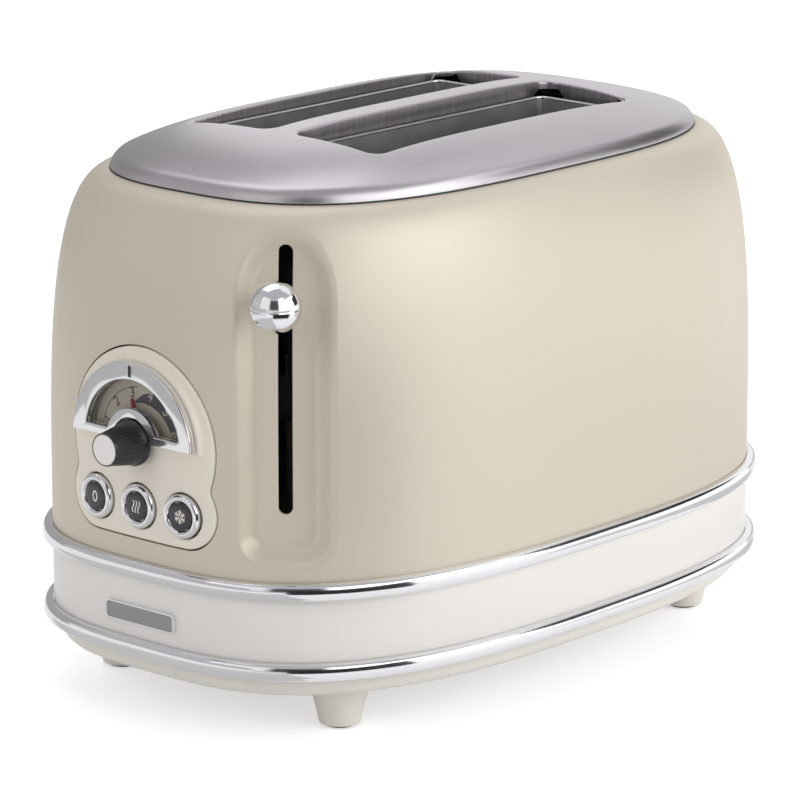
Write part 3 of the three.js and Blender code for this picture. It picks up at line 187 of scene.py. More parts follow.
class ToasterFinishes(bpy.types.PropertyGroup):
    """Colours of the toaster's surfaces, scene linear"""

    enamel: colour("Enamel", (0.568, 0.497, 0.364), "Glossy cream beige body")
    panel: colour("Panel", (0.90, 0.84, 0.72), "Cream plastic of the control panel")
    band: colour("Band", (0.89, 0.865, 0.815), "Off-white band between the beads")
    pan: colour("Pan", (0.88, 0.84, 0.765), "Base pan and feet")
    steel: colour("Steel", (0.53, 0.505, 0.53), "Brushed steel top")
    chrome: colour("Chrome", (0.80, 0.795, 0.82), "Bright plated trim")
    galvanised: colour("Galvanised", (0.50, 0.51, 0.52), "Plated sheet inside")
    black: colour("Black", (0.012, 0.012, 0.013), "Knob and other black plastic")
    insert: colour("Insert", (0.050, 0.045, 0.052), "Discs in the buttons")
    print_dark: colour("Dark print", (0.09, 0.075, 0.09), "Dark area on the dial")
    print_pale: colour("Pale print", (0.66, 0.60, 0.49), "Ground of the dial")
    red: colour("Red", (0.42, 0.02, 0.02), "Dial pointer")
    mica: colour("Mica", (0.36, 0.29, 0.20), "Cards of the heating elements")


class ToasterStudio(bpy.types.PropertyGroup):
    """Floor, light and camera"""

    camera_place: FloatVectorProperty(
        name="Camera place", default=(-1.26087, -1.1127, 0.5171), subtype="TRANSLATION",
        unit="LENGTH", description="Where the camera stands, from the body's middle",
    )
    camera_aim: FloatVectorProperty(
        name="Camera aim", default=(-0.00217, 0.00245, 0.09005), subtype="TRANSLATION",
        unit="LENGTH", description="What the camera looks at, from the body's middle",
    )
    lens: FloatProperty(name="Lens", default=211.0, unit="CAMERA", description="Focal length")
    floor_size: length("Floor size", 12.0, "Side of the square floor")
    key_power: watts("Key power", 24.0, "Side softbox")
    top_power: watts("Top power", 6.3, "Upper softbox")
    end_power: watts("End power", 3.7, "End softbox")
    back_power: watts("Back power", 2.2, "Back softbox")


# Mesh helpers, in metres, with x counted from the body's middle


def arc(centre, radius, start, end, steps):
    """Points of a circle's arc between two angles in degrees"""
    angles = [math.radians(start + (end - start) * i / steps) for i in range(steps + 1)]
    return [(centre[0] + radius * math.cos(a), centre[1] + radius * math.sin(a)) for a in angles]


def in_metres(points):
    """Turns points that are written in millimetres into metres"""
    return [(x * MM, y * MM) for x, y in points]


def rounded_outline(half_x, half_y, radius, steps=8):
    points = []
    for quarter, (sx, sy) in enumerate(((1, -1), (1, 1), (-1, 1), (-1, -1))):
        centre = (sx * (half_x - radius), sy * (half_y - radius))
        points += arc(centre, radius, -90 + 90 * quarter, 90 * quarter, steps)
    return points


def put_in_scene(name, data):
    piece = bpy.data.objects.new(name, data)
    bpy.context.scene.collection.objects.link(piece)
    return piece


def new_object(name, vertices, faces, shift=True):
    """A mesh object; shift is for points that are counted from the body's middle"""
    mesh = bpy.data.meshes.new(name)
    mesh.from_pydata([tuple(v) for v in vertices], [], faces)
    if shift:
        mesh.transform(Matrix.Translation((CENTRE_X, 0, 0)))
    mesh_form = bmesh.new()
    mesh_form.from_mesh(mesh)
    bmesh.ops.recalc_face_normals(mesh_form, faces=mesh_form.faces)
    mesh_form.to_mesh(mesh)
    mesh_form.free()
    return put_in_scene(name, mesh)


def loft_data(rings, wrap=False, caps=True):
    """Quads through rings of equal counts; wrap closes the last ring onto the first"""
    count = len(rings[0])
    vertices = [tuple(p) for ring in rings for p in ring]
    faces = []
    last = len(rings) if wrap else len(rings) - 1
    for level in range(last):
        low, high = level * count, (level + 1) % len(rings) * count
        for i in range(count):
            j = (i + 1) % count
            faces.append((low + i, low + j, high + j, high + i))
    if caps and not wrap:
        faces.append(tuple(reversed(range(count))))
        faces.append(tuple(range(last * count, last * count + count)))
    return vertices, faces


def loft(name, rings, wrap=False, shift=True):
    return new_object(name, *loft_data(rings, wrap), shift=shift)


def turned(name, profile, steps, matrix):
    """Revolves (radius, height) points about local Z; points on the axis close the form"""
    vertices, faces, rows = [], [], []
    for radius, height in profile:
        if radius < 1e-9:
            rows.append([len(vertices)] * steps)
            vertices.append((0, 0, height))
            continue
        rows.append(list(range(len(vertices), len(vertices) + steps)))
        vertices += [
            (radius * math.cos(TURN * i / steps), radius * math.sin(TURN * i / steps), height)
            for i in range(steps)
        ]
    for low, high in zip(rows, rows[1:]):
        for i in range(steps):
            j = (i + 1) % steps
            corners = []
            for index in (low[i], low[j], high[j], high[i]):
                if index not in corners:
                    corners.append(index)
            if len(corners) > 2:
                faces.append(corners)
    return new_object(name, [matrix @ Vector(v) for v in vertices], faces)


def drum(name, radius, low, high, steps, matrix):
    """A plain round cutter between two levels of local Z"""
    return turned(name, [(0, low), (radius, low), (radius, high), (0, high)], steps, matrix)


def extruded(name, outline, low, high, matrix=None):
    """A straight prism between two levels of local Z"""
    rings = [[Vector((x, y, z)) for x, y in outline] for z in (low, high)]
    matrix = matrix or Matrix.Identity(4)
    return loft(name, [[matrix @ p for p in ring] for ring in rings])


def settle(piece):
    """Turns the piece's modifiers into mesh"""
    graph = bpy.context.evaluated_depsgraph_get()
    mesh = bpy.data.meshes.new_from_object(piece.evaluated_get(graph))
    piece.modifiers.clear()
    piece.data = mesh
    return piece


def cut(piece, cutters, folded=False):
    """Cuts closed forms out of a piece; folded is for a sheet with tight folds"""
    for cutter in cutters:
        modifier = piece.modifiers.new("cut", "BOOLEAN")
        modifier.solver = "EXACT"
        modifier.use_self = folded
        modifier.object = cutter
        settle(piece)
        bpy.data.objects.remove(cutter)
    return piece


def soften(piece, width, segments, angle):
    """Bevels the edges that are sharper than an angle in degrees"""
    modifier = piece.modifiers.new("soften", "BEVEL")
    modifier.width = width
    modifier.segments = segments
    modifier.limit_method = "ANGLE"
    modifier.angle_limit = math.radians(angle)
    return settle(piece)


def join(name, parts):
    """One object from several, each of them a closed form"""
    whole = bmesh.new()
    for part in parts:
        part.data.transform(part.matrix_world)
        whole.from_mesh(part.data)
    mesh = bpy.data.meshes.new(name)
    whole.to_mesh(mesh)
    whole.free()
    for part in parts:
        bpy.data.objects.remove(part)
    return put_in_scene(name, mesh)


def finish_mesh(piece, material, angle=35):
    piece.data.materials.clear()
    piece.data.materials.append(material)
    piece.data.shade_smooth()
    piece.data.set_sharp_from_angle(angle=math.radians(angle))


def dress(piece, material, body, node=None, angle=35):
    """Finishes a piece, rides it on a body and puts it in the place of a frame node, if any"""
    finish_mesh(piece, material, angle)
    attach(piece, body)
    if node:
        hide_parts(node)


def box_outline(half_x, half_y):
    return [(-half_x, -half_y), (half_x, -half_y), (half_x, half_y), (-half_x, half_y)]


def filled(boundary, holes, pitch, keep):
    """Points and triangles between a boundary and its holes, over a grid of even points"""
    row_pitch, border = pitch * 0.87, 0.62 * pitch
    points, edges = [], []
    for loop in [boundary] + holes:
        start = len(points)
        points += [tuple(point) for point in loop]
        edges += [(start + i, start + (i + 1) % len(loop)) for i in range(len(loop))]
    fixed = np.array(points)
    low, high = fixed.min(0), fixed.max(0)
    for row, y in enumerate(np.arange(low[1], high[1], row_pitch)):
        for x in np.arange(low[0], high[0], pitch) + 0.5 * (row % 2) * pitch:
            clear = np.min(np.hypot(fixed[:, 0] - x, fixed[:, 1] - y)) > border
            if clear and keep(x, y):
                points.append((x, y))
    result = delaunay_2d_cdt([Vector(p) for p in points], edges, [], 0, 1e-7)
    placed = np.array([(p.x, p.y) for p in result[0]])
    faces = [tuple(face) for face in result[2] if keep(*placed[list(face)].mean(0))]
    return placed, faces


def merged(name, parts):
    """One open mesh from (vertices, faces) parts that share their border points"""
    vertices, faces = [], []
    for part_vertices, part_faces in parts:
        start = len(vertices)
        vertices += [tuple(v) for v in part_vertices]
        faces += [tuple(start + i for i in face) for face in part_faces]
    piece = new_object(name, vertices, faces)
    form = bmesh.new()
    form.from_mesh(piece.data)
    bmesh.ops.remove_doubles(form, verts=form.verts, dist=0.00001)
    bmesh.ops.recalc_face_normals(form, faces=form.faces)
    form.to_mesh(piece.data)
    form.free()
    return piece


def face_toward(piece, direction):
    """Turns an open mesh over if most of it faces away from a direction"""
    total = sum(face.normal.dot(direction) * face.area for face in piece.data.polygons)
    if total < 0:
        piece.data.flip_normals()


def thicken(piece, thickness):
    modifier = piece.modifiers.new("sheet", "SOLIDIFY")
    modifier.thickness = thickness
    modifier.offset = -1
    return settle(piece)


# The plan: |x / a|^p + |y / b|^q = 1


def plan_radii(a, b, p, q, angles):
    """The plan's distance from its middle at each angle, found by halving"""
    dx, dy = np.abs(np.cos(angles)), np.abs(np.sin(angles))
    low, high = np.zeros_like(angles), np.full_like(angles, a + b)
    for _ in range(50):
        middle = (low + high) / 2
        inside = (middle * dx / a) ** p + (middle * dy / b) ** q < 1
        low, high = np.where(inside, middle, low), np.where(inside, high, middle)
    return low


def plan_points(a, b, p, q, angles):
    radii = plan_radii(a, b, p, q, angles)
    return np.stack([radii * np.cos(angles), radii * np.sin(angles)], 1)


def plan_angles(body, count, dense=1.0):
    """Angles at even steps along the plan, dense times closer across the lever's channel"""
    fine = np.linspace(-math.pi, math.pi, 8001)
    points = np.array(plan_ring(body, fine, 0, 0))[:, :2]
    middle = (points[1:] + points[:-1]) / 2
    steps = np.hypot(*(points[1:] - points[:-1]).T)
    channel = channel_frame(body)
    across = (middle - channel["place"]) @ channel["along"]
    ahead = middle @ channel["out"] > 0
    field = 0.62 * body.channel_mouth  # a little wider than half the mouth
    weight = np.where(ahead & (np.abs(across) < field), dense, 1.0)
    total = np.concatenate([[0], np.cumsum(steps * weight)])
    wanted = np.linspace(0, total[-1], count, endpoint=False)
    return np.interp(wanted, total, fine)


def channel_frame(body):
    """The channel's middle in plan, and the directions out of it and along its mouth"""
    angle = math.radians(CHANNEL_TURN)
    out = np.array([-math.cos(angle), -math.sin(angle)])
    along = np.array([math.sin(angle), -math.cos(angle)])
    place = np.array([CHANNEL_INSET[0] - body.half_length, CHANNEL_INSET[1] - body.half_width])
    return {"out": out, "along": along, "place": place}


def shoulder_share(body, z):
    """How far the shoulder has turned in at a height, from 0 at the side to 1 at the top"""
    rise = np.clip((z - body.shoulder_start) / (body.shoulder_top - body.shoulder_start), 0, 1)
    low, high = SHOULDER_POWERS
    return 1 - (1 - rise**low) ** (1 / high)


def resampled(points, count):
    """Even steps along a line of points"""
    points = np.asarray(points)
    steps = np.hypot(*(points[1:] - points[:-1]).T)
    total = np.concatenate([[0], np.cumsum(steps)])
    wanted = np.linspace(0, total[-1], count)
    return np.stack([np.interp(wanted, total, points[:, k]) for k in (0, 1)], 1)


def body_ring(body, angles, z, grow, ring_z=None):
    """One ring of the body's side, with the lever's channel pressed into it"""
    share = float(shoulder_share(body, z))

    def blend(low, high):
        return low + (high - low) * share

    ring = plan_points(
        blend(body.half_length, body.top_half_length) + grow,
        blend(body.half_width, body.top_half_width) + grow,
        blend(body.end_power, body.top_end_power),
        blend(body.side_power, body.top_side_power),
        angles,
    )
    channel = channel_frame(body)
    across = (ring - channel["place"]) @ channel["along"]
    half, corner = body.channel_mouth / 2, body.channel_corner
    above = max(0, z - body.channel_top + body.channel_reach) * half / body.channel_reach
    below = max(0, body.channel_bottom + corner - z)
    beside = np.maximum(0, np.abs(across) - half + corner)
    inside = np.minimum(half - np.hypot(across, above), corner - np.hypot(beside, below))
    rise = np.clip(inside / (half - body.channel_floor / 2), 0, 1)
    depth = body.channel_depth * rise * rise * (3 - 2 * rise)
    depth = np.where(ring @ channel["out"] > 0, depth, 0)
    ring = ring - depth[:, None] * channel["out"]
    height = z if ring_z is None else ring_z
    return [(x, y, height) for x, y in ring]


def plan_ring(body, angles, inset, z):
    ring = plan_points(
        body.half_length - inset, body.half_width - inset, body.end_power, body.side_power, angles
    )
    return [(x, y, z) for x, y in ring]


# Shader node groups, each built once


def add_socket(group, name, side, kind="NodeSocketFloat", default=None):
    socket = group.interface.new_socket(name=name, in_out=side, socket_type=kind)
    if default is not None:
        socket.default_value = default


def feed(tree, setting, socket):
    """Sets a socket to a number, or links it to another node's output"""
    if isinstance(setting, (int, float)):
        socket.default_value = setting
    else:
        tree.links.new(setting, socket)


def math_node(tree, operation, first, second):
    node = tree.nodes.new("ShaderNodeMath")
    node.operation = operation
    feed(tree, first, node.inputs[0])
    feed(tree, second, node.inputs[1])
    return node.outputs[0]


def range_node(tree, value, low, high, to_low, to_high):
    node = tree.nodes.new("ShaderNodeMapRange")
    names = ("Value", "From Min", "From Max", "To Min", "To Max")
    for name, setting in zip(names, (value, low, high, to_low, to_high)):
        feed(tree, setting, node.inputs[name])
    return node.outputs["Result"]


def noise_node(tree, vector, scale, detail=2.0, roughness=0.5):
    node = tree.nodes.new("ShaderNodeTexNoise")
    settings = {"Detail": detail, "Roughness": roughness, "Scale": scale, "Vector": vector}
    for name, setting in settings.items():
        feed(tree, setting, node.inputs[name])
    return node.outputs["Fac"]


def colour_mix(tree, factor, low, high):
    """Mixes two fixed colours; the node's colour sockets are inputs 6 and 7 and output 2"""
    node = tree.nodes.new("ShaderNodeMix")
    node.data_type = "RGBA"
    node.inputs[6].default_value = (*low, 1)
    node.inputs[7].default_value = (*high, 1)
    feed(tree, factor, node.inputs["Factor"])
    return node.outputs[2]


def object_space(tree):
    return tree.nodes.new("ShaderNodeTexCoord").outputs["Object"]


def new_group(name, inputs):
    """A node group with named inputs, and with the outputs that surface reads"""
    group = bpy.data.node_groups.new(name, "ShaderNodeTree")
    for socket, default in inputs.items():
        kind = "NodeSocketVector" if isinstance(default, tuple) else "NodeSocketFloat"
        add_socket(group, socket, "INPUT", kind, default)
    for socket in ("Tone", "Roughness", "Height"):
        add_socket(group, socket, "OUTPUT")
    return group, group.nodes.new("NodeGroupInput"), group.nodes.new("NodeGroupOutput")


def give_out(group, leave, tone, gloss, height):
    """Feeds the outputs of a group that new_group made"""
    for name, output in (("Tone", tone), ("Roughness", gloss), ("Height", height)):
        feed(group, output, leave.inputs[name])
    return group


def gloss_range(group, entry, value, low, high):
    """The roughness between the group's two gloss inputs"""
    return range_node(
        group, value, low, high, entry.outputs["Gloss low"], entry.outputs["Gloss high"]
    )


def moulded_group():
    """Soft unevenness of paint and moulded plastic: a slow tone, a fine skin and gloss patches"""
    group = bpy.data.node_groups.get("moulded_surface")
    if group:
        return group
    group, entry, leave = new_group("moulded_surface", {
        "Tone scale": 9.0, "Skin scale": 900.0, "Gloss low": 0.2, "Gloss high": 0.3,
    })
    place = object_space(group)
    scale = entry.outputs["Tone scale"]
    tone = noise_node(group, place, scale, detail=3.0)
    skin = noise_node(group, place, entry.outputs["Skin scale"], detail=1.0)
    patches = noise_node(group, place, math_node(group, "MULTIPLY", scale, 6.0))
    gloss = gloss_range(group, entry, patches, 0.35, 0.65)
    return give_out(group, leave, range_node(group, tone, 0.3, 0.7, 0.0, 1.0), gloss, skin)


def brushed_group():
    """Long fine scratches along one direction"""
    group = bpy.data.node_groups.get("brushed_grain")
    if group:
        return group
    group, entry, leave = new_group("brushed_grain", {
        "Along": (8.0, 900.0, 900.0), "Gloss low": 0.25, "Gloss high": 0.4,
    })
    stretch = group.nodes.new("ShaderNodeVectorMath")
    stretch.operation = "MULTIPLY"
    feed(group, object_space(group), stretch.inputs[0])
    feed(group, entry.outputs["Along"], stretch.inputs[1])
    grain = noise_node(group, stretch.outputs["Vector"], 1.0, detail=4.0, roughness=0.7)
    gloss = gloss_range(group, entry, grain, 0.3, 0.7)
    return give_out(group, leave, range_node(group, grain, 0.25, 0.75, 0.0, 1.0), gloss, grain)


def handled_group():
    """Faint smears on bright plating"""
    group = bpy.data.node_groups.get("handled_gloss")
    if group:
        return group
    group, entry, leave = new_group("handled_gloss", {
        "Scale": 30.0, "Gloss low": 0.04, "Gloss high": 0.12,
    })
    scale = entry.outputs["Scale"]
    smear = noise_node(group, object_space(group), scale, detail=5.0, roughness=0.6)
    gloss = gloss_range(group, entry, smear, 0.4, 0.75)
    return give_out(group, leave, range_node(group, smear, 0.3, 0.7, 0.0, 1.0), gloss, smear)


def surface(name, group, tint, metallic=0.0, spread=0.05, bump=0.0, bump_distance=0.0001,
            inputs=None, **settings):
    """A material whose colour varies a little, with roughness and bump from a node group"""
    material = bpy.data.materials.get(name)
    if material:
        return material
    material = bpy.data.materials.new(name)
    material.use_nodes = True
    tree = material.node_tree
    shader = tree.nodes["Principled BSDF"]
    shader.inputs["Metallic"].default_value = metallic
    for socket, value in settings.items():
        shader.inputs[socket.replace("_", " ").title().replace("Ior", "IOR")].default_value = value
    effect = tree.nodes.new("ShaderNodeGroup")
    effect.node_tree = group
    for socket, value in (inputs or {}).items():
        effect.inputs[socket].default_value = value
    ends = [[min(1, c * factor) for c in tint] for factor in (1 - spread, 1 + spread)]
    base = colour_mix(tree, effect.outputs["Tone"], *ends)
    feed(tree, base, shader.inputs["Base Color"])
    feed(tree, effect.outputs["Roughness"], shader.inputs["Roughness"])
    if bump:
        relief = tree.nodes.new("ShaderNodeBump")
        relief.inputs["Strength"].default_value = bump
        relief.inputs["Distance"].default_value = bump_distance
        feed(tree, effect.outputs["Height"], relief.inputs["Height"])
        feed(tree, relief.outputs["Normal"], shader.inputs["Normal"])
    return material


def enamel(tints):
    return surface(
        "enamel", moulded_group(), tints.enamel, spread=0.015, bump=0.06, bump_distance=0.00004,
        inputs={"Tone scale": 7.0, "Skin scale": 260.0, "Gloss low": 0.2, "Gloss high": 0.24},
        specular_ior_level=0.25, coat_weight=1.0, coat_roughness=0.04,
    )


def cream_plastic(tints):
    return surface(
        "panel_plastic", moulded_group(), tints.panel, spread=0.012, bump=0.05,
        bump_distance=0.00002,
        inputs={"Tone scale": 6.0, "Skin scale": 1400.0, "Gloss low": 0.36, "Gloss high": 0.38},
    )


def band_plastic(tints):
    return surface(
        "band_plastic", moulded_group(), tints.band, spread=0.01, bump=0.05, bump_distance=0.00003,
        inputs={"Tone scale": 5.0, "Skin scale": 1100.0, "Gloss low": 0.28, "Gloss high": 0.3},
    )


def pan_plastic(tints):
    return surface(
        "pan_plastic", moulded_group(), tints.pan, spread=0.03, bump=0.25, bump_distance=0.00008,
        inputs={"Tone scale": 14.0, "Skin scale": 2200.0, "Gloss low": 0.38, "Gloss high": 0.5},
    )


def black_plastic(tints):
    return surface(
        "black_plastic", moulded_group(), tints.black, spread=0.3, bump=0.15,
        bump_distance=0.00005,
        inputs={"Tone scale": 60.0, "Skin scale": 2600.0, "Gloss low": 0.28, "Gloss high": 0.4},
    )


def insert_plastic(tints):
    return surface(
        "insert_plastic", moulded_group(), tints.insert, spread=0.1,
        inputs={"Tone scale": 80.0, "Gloss low": 0.14, "Gloss high": 0.2},
    )


def rubber():
    return surface(
        "foot_rubber", moulded_group(), (0.02, 0.02, 0.021), spread=0.2, bump=0.4,
        bump_distance=0.0001, inputs={"Tone scale": 90.0, "Gloss low": 0.7, "Gloss high": 0.85},
    )


def chrome(tints):
    return surface("chrome", handled_group(), tints.chrome, metallic=1.0, spread=0.015)


def knob_face():
    return surface(
        "knob_face", moulded_group(), (0.93, 0.915, 0.87), spread=0.02,
        inputs={"Tone scale": 60.0, "Gloss low": 0.3, "Gloss high": 0.36},
    )


def badge_metal():
    return surface(
        "badge_metal", moulded_group(), (0.36, 0.355, 0.36), metallic=0.8, spread=0.03,
        inputs={"Tone scale": 60.0, "Gloss low": 0.34, "Gloss high": 0.42},
    )


def top_steel(tints):
    return surface(
        "brushed_top", brushed_group(), tints.steel, metallic=1.0, spread=0.025,
        inputs={"Along": (6.0, 1400.0, 200.0), "Gloss low": 0.29, "Gloss high": 0.36},
    )


def drawn_steel(tints):
    """The marks that drawing the sheet down leaves on the bread slots' edges"""
    return surface(
        "drawn_lip", brushed_group(), [0.82 * share for share in tints.steel], metallic=1.0,
        spread=0.3, bump=0.3, bump_distance=0.00005,
        inputs={"Along": (900.0, 900.0, 30.0), "Gloss low": 0.26, "Gloss high": 0.4},
    )


def satin_steel():
    return surface(
        "satin_steel", brushed_group(), (0.62, 0.61, 0.6), metallic=1.0, spread=0.06, bump=0.1,
        bump_distance=0.00003, inputs={"Gloss low": 0.22, "Gloss high": 0.34},
    )


def galvanised(tints):
    return surface(
        "galvanised_sheet", moulded_group(), tints.galvanised, metallic=1.0, spread=0.06,
        inputs={"Tone scale": 30.0, "Gloss low": 0.38, "Gloss high": 0.44},
    )


# Near-black matt material, painted shade: it darkens the shell's inward faces and fills the joint
# gap under the steel top
def painted_shade_lining():
    return surface(
        "painted_shade_lining", moulded_group(), (0.03, 0.029, 0.028), spread=0.2,
        inputs={"Tone scale": 30.0, "Gloss low": 0.5, "Gloss high": 0.65},
    )


def dial_print(name, tint):
    return surface(
        name, moulded_group(), tint, spread=0.02,
        inputs={"Tone scale": 120.0, "Gloss low": 0.4, "Gloss high": 0.5},
    )


def mica(tints):
    return surface(
        "mica_card", moulded_group(), tints.mica, spread=0.2, bump=0.2,
        inputs={"Tone scale": 55.0, "Skin scale": 700.0, "Gloss low": 0.35, "Gloss high": 0.6},
    )


def board_material():
    return surface(
        "circuit_board", moulded_group(), (0.03, 0.16, 0.07), spread=0.15,
        inputs={"Tone scale": 150.0, "Gloss low": 0.3, "Gloss high": 0.45},
    )


def coil_material():
    return surface(
        "wound_coil", brushed_group(), (0.40, 0.13, 0.05), metallic=0.6, spread=0.2, bump=0.4,
        bump_distance=0.0002, inputs={"Along": (40.0, 40.0, 2500.0)},
    )


def clear_plastic():
    return surface(
        "clear_lens", moulded_group(), (0.97, 0.97, 0.97), spread=0.005,
        inputs={"Tone scale": 30.0, "Gloss low": 0.01, "Gloss high": 0.04},
        transmission_weight=1.0, ior=1.2,
    )


# Operators


class ToasterOperator:
    bl_options = {"REGISTER", "UNDO"}

    def sizes(self, context):
        scene = context.scene
        return scene.toaster_body, scene.toaster_dial, scene.toaster_finishes


class TOASTER_OT_stage(ToasterOperator, bpy.types.Operator):
    """Adds the floor, the studio light and the camera"""

    bl_idname = "toaster.stage"
    bl_label = "Stage"

    def execute(self, context):
        studio = context.scene.toaster_studio
        self.add_floor(studio)
        self.add_world(context.scene)
        self.add_lamps(studio)
        self.add_cards()
        self.add_camera(context.scene, studio)
        context.scene.view_settings.view_transform = "Standard"
        return {"FINISHED"}

    def stage_material(self, name, tone, roughness):
        """A matt material that glows white, at a strength that is still to be set"""
        material = bpy.data.materials.new(name)
        material.use_nodes = True
        shader = material.node_tree.nodes["Principled BSDF"]
        shader.inputs["Base Color"].default_value = (*tone, 1)
        shader.inputs["Roughness"].default_value = roughness
        shader.inputs["Emission Color"].default_value = (1, 1, 1, 1)
        return material, shader.inputs["Emission Strength"]

    def add_floor(self, studio):
        """A pale floor that glows for the camera, and half as much in what mirrors it"""
        glow, mirrored_share = 0.5, 0.5
        half = studio.floor_size / 2
        floor = new_object(
            "floor", [(x, y, 0) for x, y in box_outline(half, half)], [(0, 1, 2, 3)], shift=False
        )
        material, strength = self.stage_material("pale_floor", (0.86, 0.86, 0.865), 0.7)
        tree = material.node_tree
        rays = tree.nodes.new("ShaderNodeLightPath")
        mirrored = math_node(tree, "MULTIPLY", rays.outputs["Is Glossy Ray"], mirrored_share)
        seen = math_node(tree, "MAXIMUM", rays.outputs["Is Camera Ray"], mirrored)
        seen = math_node(tree, "MAXIMUM", seen, rays.outputs["Is Transmission Ray"])
        feed(tree, math_node(tree, "MULTIPLY", seen, glow), strength)
        floor.data.materials.append(material)

    def add_world(self, scene):
        """A soft sky, a little darker overhead than at the horizon"""
        horizon, zenith, strength = (0.95, 0.945, 0.95), (0.80, 0.78, 0.84), 0.6
        world = bpy.data.worlds.new("studio")
        scene.world = world
        world.use_nodes = True
        tree = world.node_tree
        light = tree.nodes["Background"]
        split = tree.nodes.new("ShaderNodeSeparateXYZ")
        place = tree.nodes.new("ShaderNodeTexCoord")
        feed(tree, place.outputs["Generated"], split.inputs[0])
        height = range_node(tree, split.outputs["Z"], 0.25, 0.85, 0.0, 1.0)
        feed(tree, colour_mix(tree, height, horizon, zenith), light.inputs["Color"])
        light.inputs["Strength"].default_value = strength

    def add_lamps(self, studio):
        """Softboxes, each with its place, its width and height, and its power"""
        target = Vector((0, 0, 0.1))
        lamps = (
            ("side_softbox", (0.8, -1.9, 0.85), (2.8, 1.5), studio.key_power),
            ("top_softbox", (0.3, 0.7, 1.9), (1.6, 1.2), studio.top_power),
            ("end_softbox", (-1.75, 0.35, 1.05), (0.7, 1.2), studio.end_power),
            ("back_softbox", (1.3, 1.25, 0.75), (1.4, 0.7), studio.back_power),
        )
        for name, place, size, power in lamps:
            lamp = bpy.data.lights.new(name, "AREA")
            lamp.shape = "RECTANGLE"
            lamp.size, lamp.size_y = size
            lamp.energy = power
            holder = put_in_scene(name, lamp)
            holder.location = place
            aim = target - Vector(place)
            holder.rotation_euler = aim.to_track_quat("-Z", "Y").to_euler()

    def add_cards(self):
        """Bent cards round the front corner that only bright metal and gloss mirror

        Each has its glow, its first and last angle in degrees, and the distance and height of its
        lower and its upper edge.
        """
        corner, steps = (-0.13, -0.08), 24
        cards = (
            ("low_black_card", 0.0, -152, -70, (0.2, 0.0), (0.2, 0.135)),
            ("camera_black_card", 0.05, -160, -122, (1.1, 0.19), (1.1, 1.15)),
            ("side_black_card", 0.0, -44, -2, (1.2, 0.2), (1.2, 0.8)),
            ("side_white_card", 1.2, -33, 2, (0.6, 0.0), (0.6, 0.17)),
            ("rear_white_card", 0.95, 0, 42, (1.2, 0.2), (1.2, 0.9)),
            ("upper_white_card", 0.9, -34, 24, (1.2, 1.0), (0.5, 1.4)),
            ("rear_grey_card", 0.35, 50, 106, (1.2, 0.0), (1.2, 1.1)),
            ("left_low_card", 0.85, 104, 180, (0.25, 0.004), (0.25, 0.068)),
            ("left_grey_card", 0.45, 104, 180, (0.25, 0.068), (0.25, 0.16)),
            ("right_white_card", 1.8, -118, -84, (1.15, 0.12), (1.15, 1.5)),
            ("left_white_card", 0.85, -206, -164, (1.15, 0.2), (1.15, 1.5)),
            ("left_floor_card", 0.55, 90, 205, (0.01, 0.003), (0.25, 0.003)),
            ("right_floor_card", 0.6, -36, 6, (0.28, 0.003), (0.62, 0.003)),
        )
        for name, glow, start, end, low, high in cards:
            vertices = []
            for reach, z in (low, high):
                vertices += [(x, y, z) for x, y in arc(corner, reach, start, end, steps)]
            count = steps + 1
            faces = [(i, i + 1, i + 1 + count, i + count) for i in range(steps)]
            card = new_object(name, vertices, faces)
            material, strength = self.stage_material(name, (0.01, 0.01, 0.011), 0.9)
            strength.default_value = glow
            card.data.materials.append(material)
            card.visible_camera = False
            card.visible_diffuse = False
            card.visible_shadow = False

    def add_camera(self, scene, studio):
        lens = bpy.data.cameras.new("camera")
        lens.lens = studio.lens
        lens.clip_start, lens.clip_end = 0.05, 50
        camera = put_in_scene("camera", lens)
        camera.location = Vector(studio.camera_place) + Vector((CENTRE_X, 0, 0))
        aim = Vector(studio.camera_aim) - Vector(studio.camera_place)
        camera.rotation_euler = aim.to_track_quat("-Z", "Y").to_euler()
        scene.camera = camera


